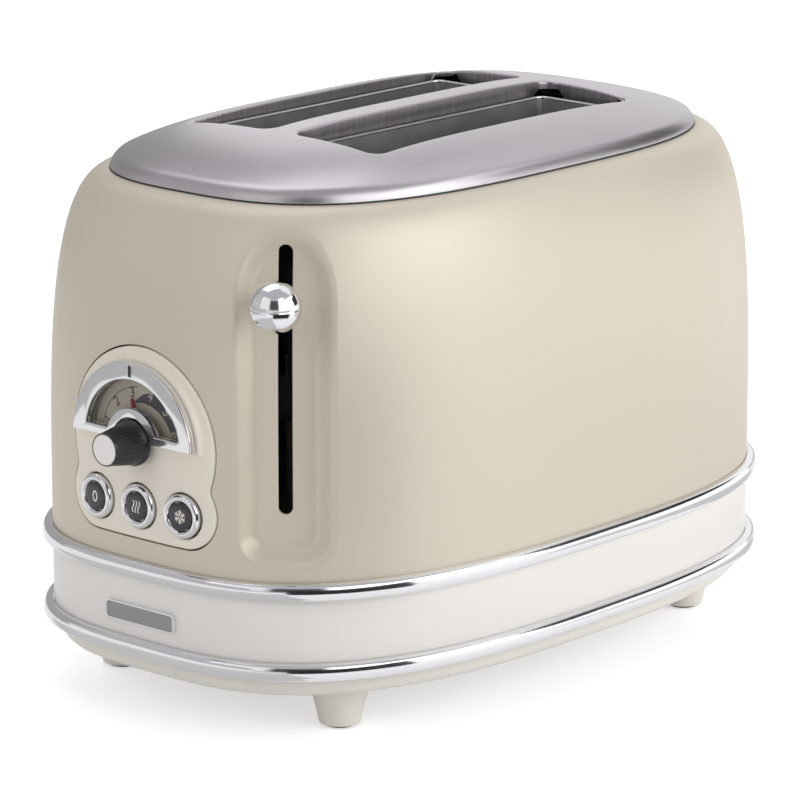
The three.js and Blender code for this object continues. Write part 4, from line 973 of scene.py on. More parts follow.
class TOASTER_OT_body_shell(ToasterOperator, bpy.types.Operator):
    """Builds the enamelled body with the lever's channel"""

    bl_idname = "toaster.body_shell"
    bl_label = "Enamelled body"

    def execute(self, context):
        body, dial, tints = self.sizes(context)
        angles = plan_angles(body, 360, dense=3.5)
        start = (0, SHELL_LOW.z)
        # Closest at the top, where the shoulder turns in fastest; resampled evens the steps
        rises = 1 - (1 - np.linspace(0, 1, 3000)) ** 3
        heights = body.shoulder_start + rises * (body.shoulder_top - body.shoulder_start)
        span = body.half_length - body.top_half_length
        side = np.stack([span * shoulder_share(body, heights), heights], 1)
        levels = resampled(np.vstack([[start], side]), 132)[:, 1]
        outer = [body_ring(body, angles, z, 0) for z in levels]
        inner_z = np.minimum(levels, body.shoulder_top - body.wall)
        inner = [
            body_ring(body, angles, z, -body.wall, ring_z)
            for z, ring_z in zip(levels[::2], inner_z[::2])
        ]
        flange = plan_points(
            body.top_half_length - body.flange, body.top_half_width - body.flange,
            body.top_end_power, body.top_side_power, angles,
        )
        rings = outer + [
            [(x, y, body.shoulder_top) for x, y in flange],
            [(x, y, body.shoulder_top - body.wall) for x, y in flange],
        ] + inner[::-1]
        shell = loft("enamel_shell", rings, wrap=True)
        cut(shell, [self.slot_cutter(body), self.panel_cutter(dial)])
        finish_mesh(shell, enamel(tints), angle=40)
        # A second slot of near-black painted shade, given below to the faces that look inward
        shell.data.materials.append(painted_shade_lining())
        self.paint_inside_shade(shell)
        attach(shell, "housing")
        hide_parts("body_shell")
        return {"FINISHED"}

    def slot_cutter(self, body):
        channel = channel_frame(body)
        half = body.slot_width / 2
        outline = rounded_outline(half, (body.slot_top - body.slot_bottom) / 2, half * 0.999, 12)
        middle = (body.slot_top + body.slot_bottom) / 2
        matrix = Matrix((
            (channel["along"][0], 0, channel["out"][0], channel["place"][0]),
            (channel["along"][1], 0, channel["out"][1], channel["place"][1]),
            (0, 1, 0, middle),
            (0, 0, 0, 1),
        ))
        reach = body.channel_mouth / 2
        return extruded("slot_cutter", outline, -reach, reach, matrix)

    def panel_cutter(self, dial):
        outline = panel_outline(dial, -0.5 * MM)
        return extruded("panel_cutter", outline, -14 * MM, 6 * MM, panel_matrix())

    def paint_inside_shade(self, shell):
        """Faces that look inward get near-black painted shade, standing in for the shade inside
        the body
        """
        inward = -0.25
        middle = Vector((CENTRE_X, 0, (SHELL_LOW.z + SHELL_HIGH.z) / 2))
        for face in shell.data.polygons:
            outward = face.center - middle
            outward.z = 0
            if face.normal.dot(outward.normalized()) < inward:
                face.material_index = 1


def panel_matrix():
    """From the dial's seat, seen from the control end: right, up and toward the viewer"""
    return Matrix((
        (0, 0, -1, PANEL_LOW.x - CENTRE_X),
        (-1, 0, 0, 0),
        (0, 1, 0, AXIS_Z),
        (0, 0, 0, 1),
    ))


def panel_outline(dial, margin, steps=14):
    """A round lobe over a wider foot with round corners, joined by hollow waists"""
    middle = Vector((
        dial.half_width - dial.corner_radius, dial.bottom + dial.corner_radius - AXIS_Z,
    ))
    top = Vector((0, dial.lobe_z - AXIS_Z))
    lobe = dial.lobe_radius - margin
    corner = dial.corner_radius - margin
    waist = dial.waist_radius + margin
    between = middle - top
    distance = between.length
    reach = (distance**2 + (lobe + waist) ** 2 - (corner + waist) ** 2) / (2 * distance)
    across = math.sqrt((lobe + waist) ** 2 - reach**2)
    unit = between.normalized()
    hollow = top + Vector((unit.x * reach - unit.y * across, unit.y * reach + unit.x * across))
    lobe_angle = math.degrees(math.atan2(hollow.y - top.y, hollow.x))
    corner_angle = math.degrees(math.atan2(hollow.y - middle.y, hollow.x - middle.x))
    right = arc(middle, corner, -90, corner_angle, steps)
    right += arc(hollow, waist, corner_angle + 180, lobe_angle + 180, steps // 2)[1:]
    right += arc(top, lobe, lobe_angle, 90, 2 * steps)[1:]
    left = [(-x, y) for x, y in reversed(right[:-1])]
    foot = [(x, right[0][1]) for x in np.linspace(left[-1][0], right[0][0], 2 * steps)[1:-1]]
    return right + left + foot


def dial_outline(radius, low, steps=64):
    """A round top over a straight underside"""
    start = math.degrees(math.asin(low / radius))
    line = arc((0, 0), radius, start, 180 - start, steps)
    return line + [(x, low) for x in np.linspace(line[-1][0], line[0][0], steps // 2)[1:-1]]


def face_level(body, dial, points):
    """Level of the panel's curved face at points counted from the dial's axis"""
    x, y = np.asarray(points).T
    share = shoulder_share(body, y + AXIS_Z)
    half_length = body.half_length + (body.top_half_length - body.half_length) * share
    half_width = body.half_width + (body.top_half_width - body.half_width) * share
    run = (1 - (np.abs(x) / half_width) ** body.side_power) ** (1 / body.end_power)
    return half_length * run + dial.proud + PANEL_LOW.x - CENTRE_X


class TOASTER_OT_steel_top(ToasterOperator, bpy.types.Operator):
    """Builds the domed steel top with its two bread slots"""

    bl_idname = "toaster.steel_top"
    bl_label = "Steel top"

    def execute(self, context):
        body, _, tints = self.sizes(context)
        rim = self.rim_rings(body)
        slots = [self.slot_rings(body, side) for side in (-1, 1)]
        borders = [rim[-1]] + [rings[0] for rings in slots]
        loops = [[(x, y) for x, y, z in border] for border in borders]
        placed, faces = filled(
            loops[0], loops[1:], 2.6 * MM, lambda x, y: self.inside_flat(body, x, y)
        )
        heights = self.height(body, placed[:, 0], placed[:, 1])
        crown = ([(x, y, z) for (x, y), z in zip(placed, heights)], faces)
        parts = [crown] + [loft_data(rings, caps=False) for rings in [rim] + slots]
        top = merged("steel_top", parts)
        face_toward(top, UP)
        thicken(top, 0.9 * MM)
        finish_mesh(top, top_steel(tints), angle=50)
        top.data.materials.append(drawn_steel(tints))
        self.mark_lips(top)
        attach(top, "housing")
        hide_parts("top_plate")
        self.add_seam(body)
        return {"FINISHED"}

    def mark_lips(self, top):
        """The steep faces inside the bread slots get the drawn steel"""
        half_x, half_y = LIP_FIELD
        steep = 0.6
        for face in top.data.polygons:
            along, across = abs(face.center.x - CENTRE_X), abs(face.center.y)
            if along < half_x and across < half_y and abs(face.normal.z) < steep:
                face.material_index = 1

    def add_seam(self, body):
        """A near-black strip in the joint between the steel top and the enamel, painted shade
        standing in for the shadow in the gap
        """
        angles = plan_angles(body, 240)
        rings = []
        for grow, z in ((-2, -0.25), (0.1, -0.25), (0.2, 0.05), (0.1, 0.3), (-2, 0.3)):
            ring = plan_points(
                body.top_half_length + grow * MM, body.top_half_width + grow * MM,
                body.top_end_power, body.top_side_power, angles,
            )
            rings.append([(x, y, TOP_LOW.z + z * MM) for x, y in ring])
        seam = loft("top_seam", rings, wrap=True)
        dress(seam, painted_shade_lining(), "housing")

    def height(self, body, x, y):
        """The steel top's level: a rolled rim that runs into a flat dome"""
        level = np.abs(x / body.top_half_length) ** body.top_end_power
        level = level + np.abs(y / body.top_half_width) ** body.top_side_power
        spread = np.clip(level, 0, 1) ** (2 / (body.top_end_power + body.top_side_power))
        out = np.clip(1 - (1 - spread) / RIM_SHARE, 0, 1)
        crown = (1 - spread ** DOME_POWERS[0]) ** (1 / DOME_POWERS[1])
        rise = body.roll_rise * np.sqrt(1 - out**2)
        return TOP_LOW.z + rise + (body.dome_rise - body.roll_rise) * crown

    def rim_rings(self, body):
        """Rings from the rim's edge in to the crown's border"""
        power = (body.top_end_power + body.top_side_power) / 2
        count = 240
        turns = np.linspace(0, TURN, count, endpoint=False)
        directions = np.arctan2(
            body.top_half_width * np.sin(turns), body.top_half_length * np.cos(turns)
        )
        unit = plan_points(
            body.top_half_length, body.top_half_width, body.top_end_power, body.top_side_power,
            directions,
        )
        rolls = np.linspace(0, math.pi / 2, 11)
        shares = [1 - RIM_SHARE * (1 - math.cos(roll)) for roll in rolls]
        shares += [0.957, 0.946, 0.933, 0.915, 0.893, 0.868, 0.838, CROWN_SHARE]
        rings = []
        for share in shares:
            level = share**power
            x = unit[:, 0] * level ** (1 / body.top_end_power)
            y = unit[:, 1] * level ** (1 / body.top_side_power)
            rings.append(list(zip(x, y, self.height(body, x, y))))
        return rings

    def slot_outline(self, body, side, grow):
        """A bread slot's outline, with even points along its straight runs"""
        pitch, shortest_run = 2.6 * MM, 5 * MM
        half_x = body.bread_slot_length / 2
        half_y = body.bread_slot_width / 2
        corner = body.bread_slot_corner
        points = rounded_outline(half_x + grow, half_y + grow, corner + grow, 10)
        dense = []
        for (x, y), (next_x, next_y) in zip(points, points[1:] + points[:1]):
            span = math.hypot(next_x - x, next_y - y)
            parts = max(1, round(span / pitch)) if span > shortest_run else 1
            dense += [
                (x + (next_x - x) * k / parts, y + (next_y - y) * k / parts) for k in range(parts)
            ]
        return [(x + SLOT_SHIFT, y + side * body.bread_slot_y) for x, y in dense]

    def slot_rings(self, body, side):
        """The rolled edge and the turned-down wall, cut short at the corners"""
        corner_reach, corner_lift = 5.2 * MM, 4.6 * MM
        roll = body.lip_radius
        outline = np.array(self.slot_outline(body, side, 0))
        wide = np.array(self.slot_outline(body, side, roll))
        top = self.height(body, wide[:, 0], wide[:, 1])
        rings = []
        for turn in np.linspace(0, 90, 6):
            share = math.sin(math.radians(turn))
            place = wide + (outline - wide) * share
            z = top - roll * (1 - math.cos(math.radians(turn)))
            rings.append([(x, y, h) for (x, y), h in zip(place, z)])
        middle = np.array([SLOT_SHIFT, side * body.bread_slot_y])
        corner_x = body.bread_slot_length / 2 - np.abs(outline[:, 0] - middle[0])
        corner_y = body.bread_slot_width / 2 - np.abs(outline[:, 1] - middle[1])
        near = np.clip(2.0 - np.hypot(corner_x, corner_y) / corner_reach, 0, 1)
        short = near * near * (3 - 2 * near)
        low = TOP_LOW.z + body.dome_rise - body.lip_depth + short * corner_lift
        start = top - roll
        for share in (0.35, 0.7, 1.0):
            z = start + (low - start) * share
            rings.append([(x, y, h) for (x, y), h in zip(outline, z)])
        return rings

    def inside_flat(self, body, x, y):
        """Whether a point lies on the crown, inside its border and outside both slots"""
        power = (body.top_end_power + body.top_side_power) / 2
        level = abs(x / body.top_half_length) ** body.top_end_power
        level += abs(y / body.top_half_width) ** body.top_side_power
        if level ** (1 / power) > CROWN_SHARE:
            return False
        radius = body.bread_slot_corner + body.lip_radius
        dx = abs(x - SLOT_SHIFT) - body.bread_slot_length / 2 - body.lip_radius + radius
        dy = abs(abs(y) - body.bread_slot_y) - body.bread_slot_width / 2 - body.lip_radius + radius
        outside = math.hypot(max(dx, 0), max(dy, 0)) + min(max(dx, dy), 0) - radius
        return outside > 0


class TOASTER_OT_base(ToasterOperator, bpy.types.Operator):
    """Builds the band, the chrome beads, the pan and the badge plate"""

    bl_idname = "toaster.base"
    bl_label = "Base"

    def execute(self, context):
        body, _, tints = self.sizes(context)
        angles = plan_angles(body, 300)
        self.add_band(body, angles, tints)
        self.add_bead(body, angles, tints, "chrome_bead_upper", "upper_bead")
        self.add_bead(body, angles, tints, "chrome_bead_lower", "lower_bead")
        self.add_pan(body, angles, tints)
        self.add_badge(tints)
        return {"FINISHED"}

    def add_band(self, body, angles, tints):
        edge, round_off, wall = 0.5 * MM, 0.15 * MM, 2.2 * MM
        low, high = BAND_LOW.z, BAND_HIGH.z
        profile = [(wall, low), (edge, low), (round_off, low + round_off), (0, low + edge),
                   (0, (low + high) / 2), (0, high - edge), (round_off, high - round_off),
                   (edge, high), (wall, high)]
        band = loft("band_cover", [plan_ring(body, angles, i, z) for i, z in profile], wrap=True)
        door_low, door_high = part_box("tray_door")
        gap = 0.35 * MM
        outline = [(door_low.y - gap, door_low.z - gap), (door_high.y + gap, door_low.z - gap),
                   (door_high.y + gap, door_high.z + gap), (door_low.y - gap, door_high.z + gap)]
        turn = Matrix(((0, 0, 1, 0), (1, 0, 0, 0), (0, 1, 0, 0), (0, 0, 0, 1)))
        cut(band, [extruded("door_cutter", outline, 60 * MM, 160 * MM, turn)])
        dress(band, band_plastic(tints), "housing", "base_band")

    def add_bead(self, body, angles, tints, name, node):
        low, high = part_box(node)
        middle, half = (low.z + high.z) / 2, (high.z - low.z) / 2
        proud = high.x - CENTRE_X - body.half_length
        root, fullness = 0.3 * MM, 0.6
        profile = []
        for turn in np.linspace(-90, 90, 25):
            share = math.cos(math.radians(turn)) ** fullness
            profile.append((-root - (proud - root) * share,
                            middle + half * math.sin(math.radians(turn))))
        bead = loft(name, [plan_ring(body, angles, i, z) for i, z in profile], wrap=True)
        dress(bead, chrome(tints), "housing", node, angle=60)

    def add_pan(self, body, angles, tints):
        low, high = PAN_LOW.z, PAN_HIGH.z
        outside = [(60, 0), (30, 0), (7.4, 0), (6.2, 0.08), (5.0, 0.3), (4.1, 0.75), (3.4, 1.45),
                   (2.9, 2.2), (2.35, 3.6), (2.0, 5.2), (1.6, 7.4), (1.3, 9.4), (1.2, 10.35)]
        profile = [(i * MM, low + z * MM) for i, z in outside]
        profile += [(1.2 * MM, high), (3.2 * MM, high), (4.2 * MM, low + 3.2 * MM),
                    (6.2 * MM, low + 2 * MM), (60 * MM, low + 2 * MM)]
        rings = [plan_ring(body, angles, i, z) for i, z in profile]
        pan = loft("pan_cover", rings)
        cutters = []
        slit = rounded_outline(2 * MM, 17 * MM, 1.99 * MM, 5)
        for index in range(-3, 4):
            vent = [(x + index * 12 * MM, y) for x, y in slit]
            cutters.append(extruded("vent_cutter", vent, low - 5 * MM, low + 5 * MM))
        gland_low, gland_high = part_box("cord_gland")
        hole = Matrix.Translation(((gland_low.x + gland_high.x) / 2 - CENTRE_X, 0, low))
        cutters.append(drum("gland_cutter", 5.8 * MM, -5 * MM, 5 * MM, 48, hole))
        cut(pan, [join("pan_cutters", cutters)])
        dress(pan, pan_plastic(tints), "housing", "base_pan")

    def add_badge(self, tints):
        """A bare plate with a raised rim, its levels counted forward from the body's middle"""
        back, rim_front, recess, clear = 140 * MM, 142.9 * MM, 142.45 * MM, 150 * MM
        field_back, field_front = 142.3 * MM, 142.5 * MM
        low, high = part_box("badge_plate")
        half_y, half_z = (high.y - low.y) / 2, (high.z - low.z) / 2
        middle = (low.z + high.z) / 2
        matrix = Matrix(((0, 0, -1, 0), (-1, 0, 0, 0), (0, 1, 0, middle), (0, 0, 0, 1)))

        def plate(name, inset, corner, start, end):
            outline = rounded_outline(half_y - inset, half_z - inset, corner)
            return extruded(name, outline, start, end, matrix)

        rim = plate("badge_rim", 0, 1.6 * MM, back, rim_front)
        cut(rim, [plate("badge_cutter", 0.55 * MM, 1.1 * MM, recess, clear)])
        soften(rim, 0.16 * MM, 2, 50)
        dress(rim, chrome(tints), "housing", "badge_plate")
        field = plate("badge_field", 0.6 * MM, 1.0 * MM, field_back, field_front)
        dress(field, badge_metal(), "housing")


class TOASTER_OT_feet(ToasterOperator, bpy.types.Operator):
    """Builds the four feet and their rubber pads"""

    bl_idname = "toaster.feet"
    bl_label = "Feet"

    def execute(self, context):
        tints = context.scene.toaster_finishes
        profile = [(0, 3), (5.5, 3), (5.5, 1.2), (5.75, 1.0), (6.9, 1.0), (7.3, 1.2), (7.5, 1.7),
                   (8.4, 6), (9.4, 10), (10.6, 13.2), (11.9, 15.3), (13.2, 16.3), (0, 16.3)]
        grooves = [(0, 0.35), (2.2, 0.35), (2.4, 0.05), (2.6, 0), (3.2, 0), (3.4, 0.35),
                   (3.9, 0.35), (4.1, 0), (4.9, 0), (5.15, 0.25), (5.2, 0.6), (5.2, 2.7), (0, 2.7)]
        for corner in ("front_near", "front_far", "rear_near", "rear_far"):
            low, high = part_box("foot_" + corner)
            place = Matrix.Translation(((low.x + high.x) / 2 - CENTRE_X, (low.y + high.y) / 2, 0))
            foot = turned("foot_cover_" + corner, in_metres(profile), 72, place)
            dress(foot, pan_plastic(tints), "housing", "foot_" + corner)
            pad = turned("pad_cover_" + corner, in_metres(grooves), 64, place)
            dress(pad, rubber(), "housing", "foot_pad_" + corner)
        return {"FINISHED"}


class TOASTER_OT_panel(ToasterOperator, bpy.types.Operator):
    """Builds the cream control panel"""

    bl_idname = "toaster.panel"
    bl_label = "Control panel"

    def execute(self, context):
        body, dial, tints = self.sizes(context)
        level = (CAP_LOW.z + CAP_HIGH.z) / 2 - AXIS_Z
        keys = [Vector((step * dial.button_pitch, level)) for step in (-1, 0, 1)]

        def ring(points, depth, lift=0.0):
            """Points on the curved face, sunk by a depth or lifted toward the dial's seat"""
            return [
                (x, y, w * (1 - lift) - depth)
                for (x, y), w in zip(points, face_level(body, dial, points))
            ]

        edge_steps = ((0.1, 3), (0.1, 0.9), (0.14, 0.55), (0.26, 0.3), (0.48, 0.12), (0.8, 0.03),
                      (1.2, 0))
        seat_steps = ((2.1, 0), (1.85, 0.03), (1.65, 0.16), (1.5, 0.45), (1.4, 0.75), (1.25, 0.92),
                      (1.05, 0.99), (0.8, 1), (-2.4, 1))
        well_steps = ((8.95, 0), (8.7, 0.05), (8.48, 0.18), (8.36, 0.4), (8.32, 0.7), (8.32, 3))
        seat_rim, well_radius = seat_steps[0][0] * MM, well_steps[0][0] * MM
        edge = [
            ring(panel_outline(dial, margin * MM), depth * MM) for margin, depth in edge_steps
        ]
        seat = [
            ring(self.seat_outline(dial, grow * MM), 0, lift) for grow, lift in seat_steps
        ]
        opening = dial_outline(dial.opening_radius, dial.bar_high - 0.3 * MM)
        seat += [ring(opening, depth * MM, 1) for depth in (0, 1.2)]
        wells = [
            [ring(arc(key, radius * MM, 0, 355, 71), depth * MM) for radius, depth in well_steps]
            for key in keys
        ]
        borders = [edge[-1], seat[0]] + [well[0] for well in wells]
        loops = [[(x, y) for x, y, w in border] for border in borders]

        def keep(x, y):
            """Whether a point lies on the panel, outside the seat and the wells"""
            if any(math.hypot(x - key.x, y - key.y) < well_radius for key in keys):
                return False
            grown = dial.bezel_radius + seat_rim
            if y > dial.bar_low - seat_rim and math.hypot(x, y) < grown:
                return False
            return inside_loop(x, y, np.array(loops[0]))

        placed, faces = filled(loops[0], loops[1:], 2.4 * MM, keep)
        parts = [(ring(placed, 0), faces)]
        parts += [loft_data(rings, caps=False) for rings in [edge, seat] + wells]
        matrix = panel_matrix()
        parts = [([matrix @ Vector(v) for v in vertices], faces) for vertices, faces in parts]
        panel = merged("panel_cover", parts)
        face_toward(panel, Vector((-1, 0, 0)))
        thicken(panel, 0.5 * MM)
        cut(panel, [drum("shaft_cutter", 4 * MM, -9 * MM, 3 * MM, 48, matrix)], folded=True)
        dress(panel, cream_plastic(tints), "housing", "panel_plate", angle=45)
        return {"FINISHED"}

    def seat_outline(self, dial, grow):
        return dial_outline(dial.bezel_radius + grow, dial.bar_low - grow)


def inside_loop(x, y, loop):
    """Whether a point lies inside a closed outline"""
    x1, y1 = loop.T
    x2, y2 = np.roll(loop, -1, axis=0).T
    crosses = (y1 > y) != (y2 > y)
    with np.errstate(divide="ignore", invalid="ignore"):
        at = x1 + (y - y1) * (x2 - x1) / (y2 - y1)
    return bool(np.sum(crosses & (x < at)) % 2)


class TOASTER_OT_dial(ToasterOperator, bpy.types.Operator):
    """Builds the chrome bezel, its window, the printed scale and the pointer"""

    bl_idname = "toaster.dial"
    bl_label = "Dial"

    def execute(self, context):
        _, dial, tints = self.sizes(context)
        self.add_bezel(dial, tints)
        self.add_window(dial)
        self.add_scale(dial, tints)
        self.add_pointer(dial, tints)
        return {"FINISHED"}

    def add_bezel(self, dial, tints):
        face = panel_matrix()
        front = PANEL_LOW.x - BEZEL_LOW.x
        radius = dial.bezel_radius
        outline = dial_outline(radius, dial.bar_low, 96)
        ring = extruded("bezel_ring", outline, 0.3 * MM, front, face)
        opening = self.window_outline(dial.opening_radius, dial.hub_outer, dial.bar_high)
        window = extruded("window_cutter", opening, -1 * MM, front + 1 * MM, face)
        hub = drum("hub_cutter", dial.hub_inner, -1 * MM, front + 1 * MM, 56, face)
        cut(ring, [window, hub])
        soften(ring, dial.bezel_edge, 1, 50)
        soften(ring, 0.15 * MM, 2, 25)
        dress(ring, chrome(tints), "housing", "dial_bezel")
        height = (radius + dial.opening_radius) / 2
        for name, size, level, material, slot in (
            ("index_frame", (1.2, 2.55), 0.14, chrome(tints), "chrome"),
            ("index_mark", (0.75, 2.1), 0.2, black_plastic(tints), "black_plastic"),
        ):
            place = face @ Matrix.Translation((0, height, front))
            outline = rounded_outline(size[0] * MM, size[1] * MM, 0.4 * MM, 4)
            mark = extruded(name, outline, -0.5 * MM, level * MM, place)
            soften(mark, 0.12 * MM, 2, 50)
            dress(mark, material, "housing")

    def window_outline(self, outer, inner, low, steps=64):
        """An arch-shaped window between two radii, cut straight at the bar"""
        wide, narrow = (math.degrees(math.asin(low / radius)) for radius in (outer, inner))
        line = arc((0, 0), outer, wide, 180 - wide, steps)
        return line + arc((0, 0), inner, 180 - narrow, narrow, steps // 2)

    def add_window(self, dial):
        low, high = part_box("dial_window")
        grow = 0.2 * MM
        outline = self.window_outline(
            dial.opening_radius - grow, dial.hub_outer + grow, dial.bar_high + grow
        )
        back, front = PANEL_LOW.x - high.x, PANEL_LOW.x - low.x
        glass = extruded("dial_glass", outline, back, front, panel_matrix())
        dress(glass, clear_plastic(), "housing", "dial_window")

    def add_scale(self, dial, tints):
        level = PANEL_LOW.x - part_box("dial_plate")[0].x
        face = panel_matrix() @ Matrix.Translation((0, 0, level))
        pale = dial_print("scale_ground", tints.print_pale)
        dark = dial_print("scale_dark", tints.print_dark)
        plate_radius, shaft_hole = 23.9 * MM, 3.7 * MM
        outline = arc((0, 0), plate_radius, 0, 180, 64) + arc((0, 0), shaft_hole, 180, 0, 24)
        plate = extruded("scale_plate", outline, -1 * MM, 0, face)
        dress(plate, pale, "housing", "dial_plate")
        tunnel = arc((0, 0), dial.opening_radius + 0.4 * MM, 8, 172, 64)
        tunnel += arc((0, 0), dial.opening_radius - 0.1 * MM, 172, 8, 64)
        wall = extruded("window_wall", tunnel, 0, -level, face)
        dress(wall, dial_print("window_wall", (0.30, 0.27, 0.24)), "housing")
        self.add_print(dial, face, dark)
        self.add_numbers(dial, face, dark, pale)

    def add_print(self, dial, face, dark):
        """A dark crescent that widens clockwise, and a thin line on the other side"""
        first, last, steps = 104, 5, 60
        tip_radius, outer_gain, inner_gain, thin_width = 13.2, 9.0, 2.2, 0.28 * MM
        sunk, raised = -0.2 * MM, 0.05 * MM
        outer, inner = [], []
        for i in range(steps + 1):
            share = i / steps
            angle = math.radians(first + (last - first) * share)
            out = (tip_radius + outer_gain * (1 - (1 - share) ** 2.2)) * MM
            inward = (tip_radius + inner_gain * share**1.5) * MM
            outer.append((out * math.cos(angle), out * math.sin(angle)))
            inner.append((inward * math.cos(angle), inward * math.sin(angle)))
        crescent = extruded("scale_crescent", outer + inner[::-1], sunk, raised, face)
        line = arc((0, 0), dial.arc_radius, 94, 176, 40)
        line += arc((0, 0), dial.arc_radius - thin_width, 176, 94, 40)
        thin = extruded("scale_line", line, sunk, raised, face)
        for piece in (crescent, thin):
            dress(piece, dark, "housing")

    def add_numbers(self, dial, face, dark, pale):
        for number, angle in zip("123456", (-74, -45, -15, 15, 45, 74)):
            outline = bpy.data.curves.new("number", "FONT")
            outline.body = number
            outline.size = dial.number_height
            outline.extrude = 0.05 * MM
            outline.shear = 0.15
            outline.align_x, outline.align_y = "CENTER", "CENTER"
            holder = put_in_scene("number", outline)
            graph = bpy.context.evaluated_depsgraph_get()
            mesh = bpy.data.meshes.new_from_object(holder.evaluated_get(graph))
            bpy.data.objects.remove(holder)
            spin = Matrix.Rotation(-math.radians(angle), 4, "Z")
            place = face @ spin @ Matrix.Translation((0, dial.number_radius, 0.06 * MM))
            mesh.transform(Matrix.Translation((CENTRE_X, 0, 0)) @ place)
            piece = put_in_scene("scale_number_" + number, mesh)
            dress(piece, dark if number in "123" else pale, "housing")

    def add_pointer(self, dial, tints):
        low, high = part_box("dial_pointer")
        level = PANEL_LOW.x - high.x
        thick = high.x - low.x
        spin = Matrix.Rotation(dial.pointer_angle, 4, "Z")
        face = panel_matrix() @ Matrix.Translation((0, 0, level)) @ spin
        half, disc_radius, tip = 0.7, 8.2, 0.8
        start = math.degrees(math.acos(half / disc_radius))
        reach = dial.pointer_reach
        outline = arc((0, 0), disc_radius * MM, 180 - start, 360 + start, 64)
        outline += [(half * MM, reach - tip * MM), (0, reach), (-half * MM, reach - tip * MM)]
        disc = extruded("pointer_needle", outline, 0, thick, face)
        cut(disc, [drum("pointer_cutter", 3.3 * MM, -1 * MM, 2 * MM, 32, face)])
        dress(disc, dial_print("pointer_red", tints.red), "knob", "dial_pointer")


class TOASTER_OT_knob(ToasterOperator, bpy.types.Operator):
    """Builds the fluted knob and its metal cap"""

    bl_idname = "toaster.knob"
    bl_label = "Knob"

    def execute(self, context):
        _, dial, tints = self.sizes(context)
        base = PANEL_LOW.x - KNOB_HIGH.x
        tip = PANEL_LOW.x - KNOB_LOW.x
        face = panel_matrix()
        count, flutes = 288, 36
        # Radius in millimetres, level, and the depth of the flutes in millimetres
        profile = [
            (3.3, base + 9 * MM, 0), (3.3, base, 0), (7.9, base, 0), (8.3, base + 0.3 * MM, 0),
            (8.3, base + 1.5 * MM, 0), (8.05, base + 1.85 * MM, 0), (7.75, base + 2.3 * MM, 0.06),
            (7.6, base + 3 * MM, 0.12), (6.9, base + 7.5 * MM, 0.12), (6.15, tip - 2.6 * MM, 0.12),
            (6.0, tip - 1.2 * MM, 0.06), (5.9, tip - 0.5 * MM, 0), (5.78, tip - 0.12 * MM, 0),
            (5.65, tip, 0), (5.52, tip - 0.12 * MM, 0), (5.5, tip - 0.9 * MM, 0),
        ]
        rings = []
        for radius, height, flute in profile:
            ring = []
            for i in range(count):
                turn = TURN * i / count
                r = (radius - flute * (0.5 - 0.5 * math.cos(flutes * turn)) ** 0.6) * MM
                ring.append(face @ Vector((r * math.cos(turn), r * math.sin(turn), height)))
            rings.append(ring)
        knob = loft("knob_grip", rings)
        dress(knob, black_plastic(tints), "knob", "dial_knob", angle=50)
        cap = turned("knob_disc", [
            (0, tip - 0.85 * MM), (5.42 * MM, tip - 0.85 * MM), (5.42 * MM, tip - 0.2 * MM),
            (5.25 * MM, tip - 0.06 * MM), (3.0 * MM, tip - 0.02 * MM), (0, tip)], 72, face)
        dress(cap, knob_face(), "knob", "knob_cap")
        dot_place = face @ Matrix.Rotation(dial.pointer_angle, 4, "Z") @ Matrix.Translation(
            (0, 8.25 * MM, base + 0.9 * MM)) @ Matrix.Rotation(math.radians(-90), 4, "X")
        dot = turned("knob_dot", [(0, -0.3 * MM), (0.4 * MM, -0.3 * MM), (0.4 * MM, 0.08 * MM),
                                  (0, 0.12 * MM)], 20, dot_place)
        dress(dot, band_plastic(tints), "knob")
        return {"FINISHED"}


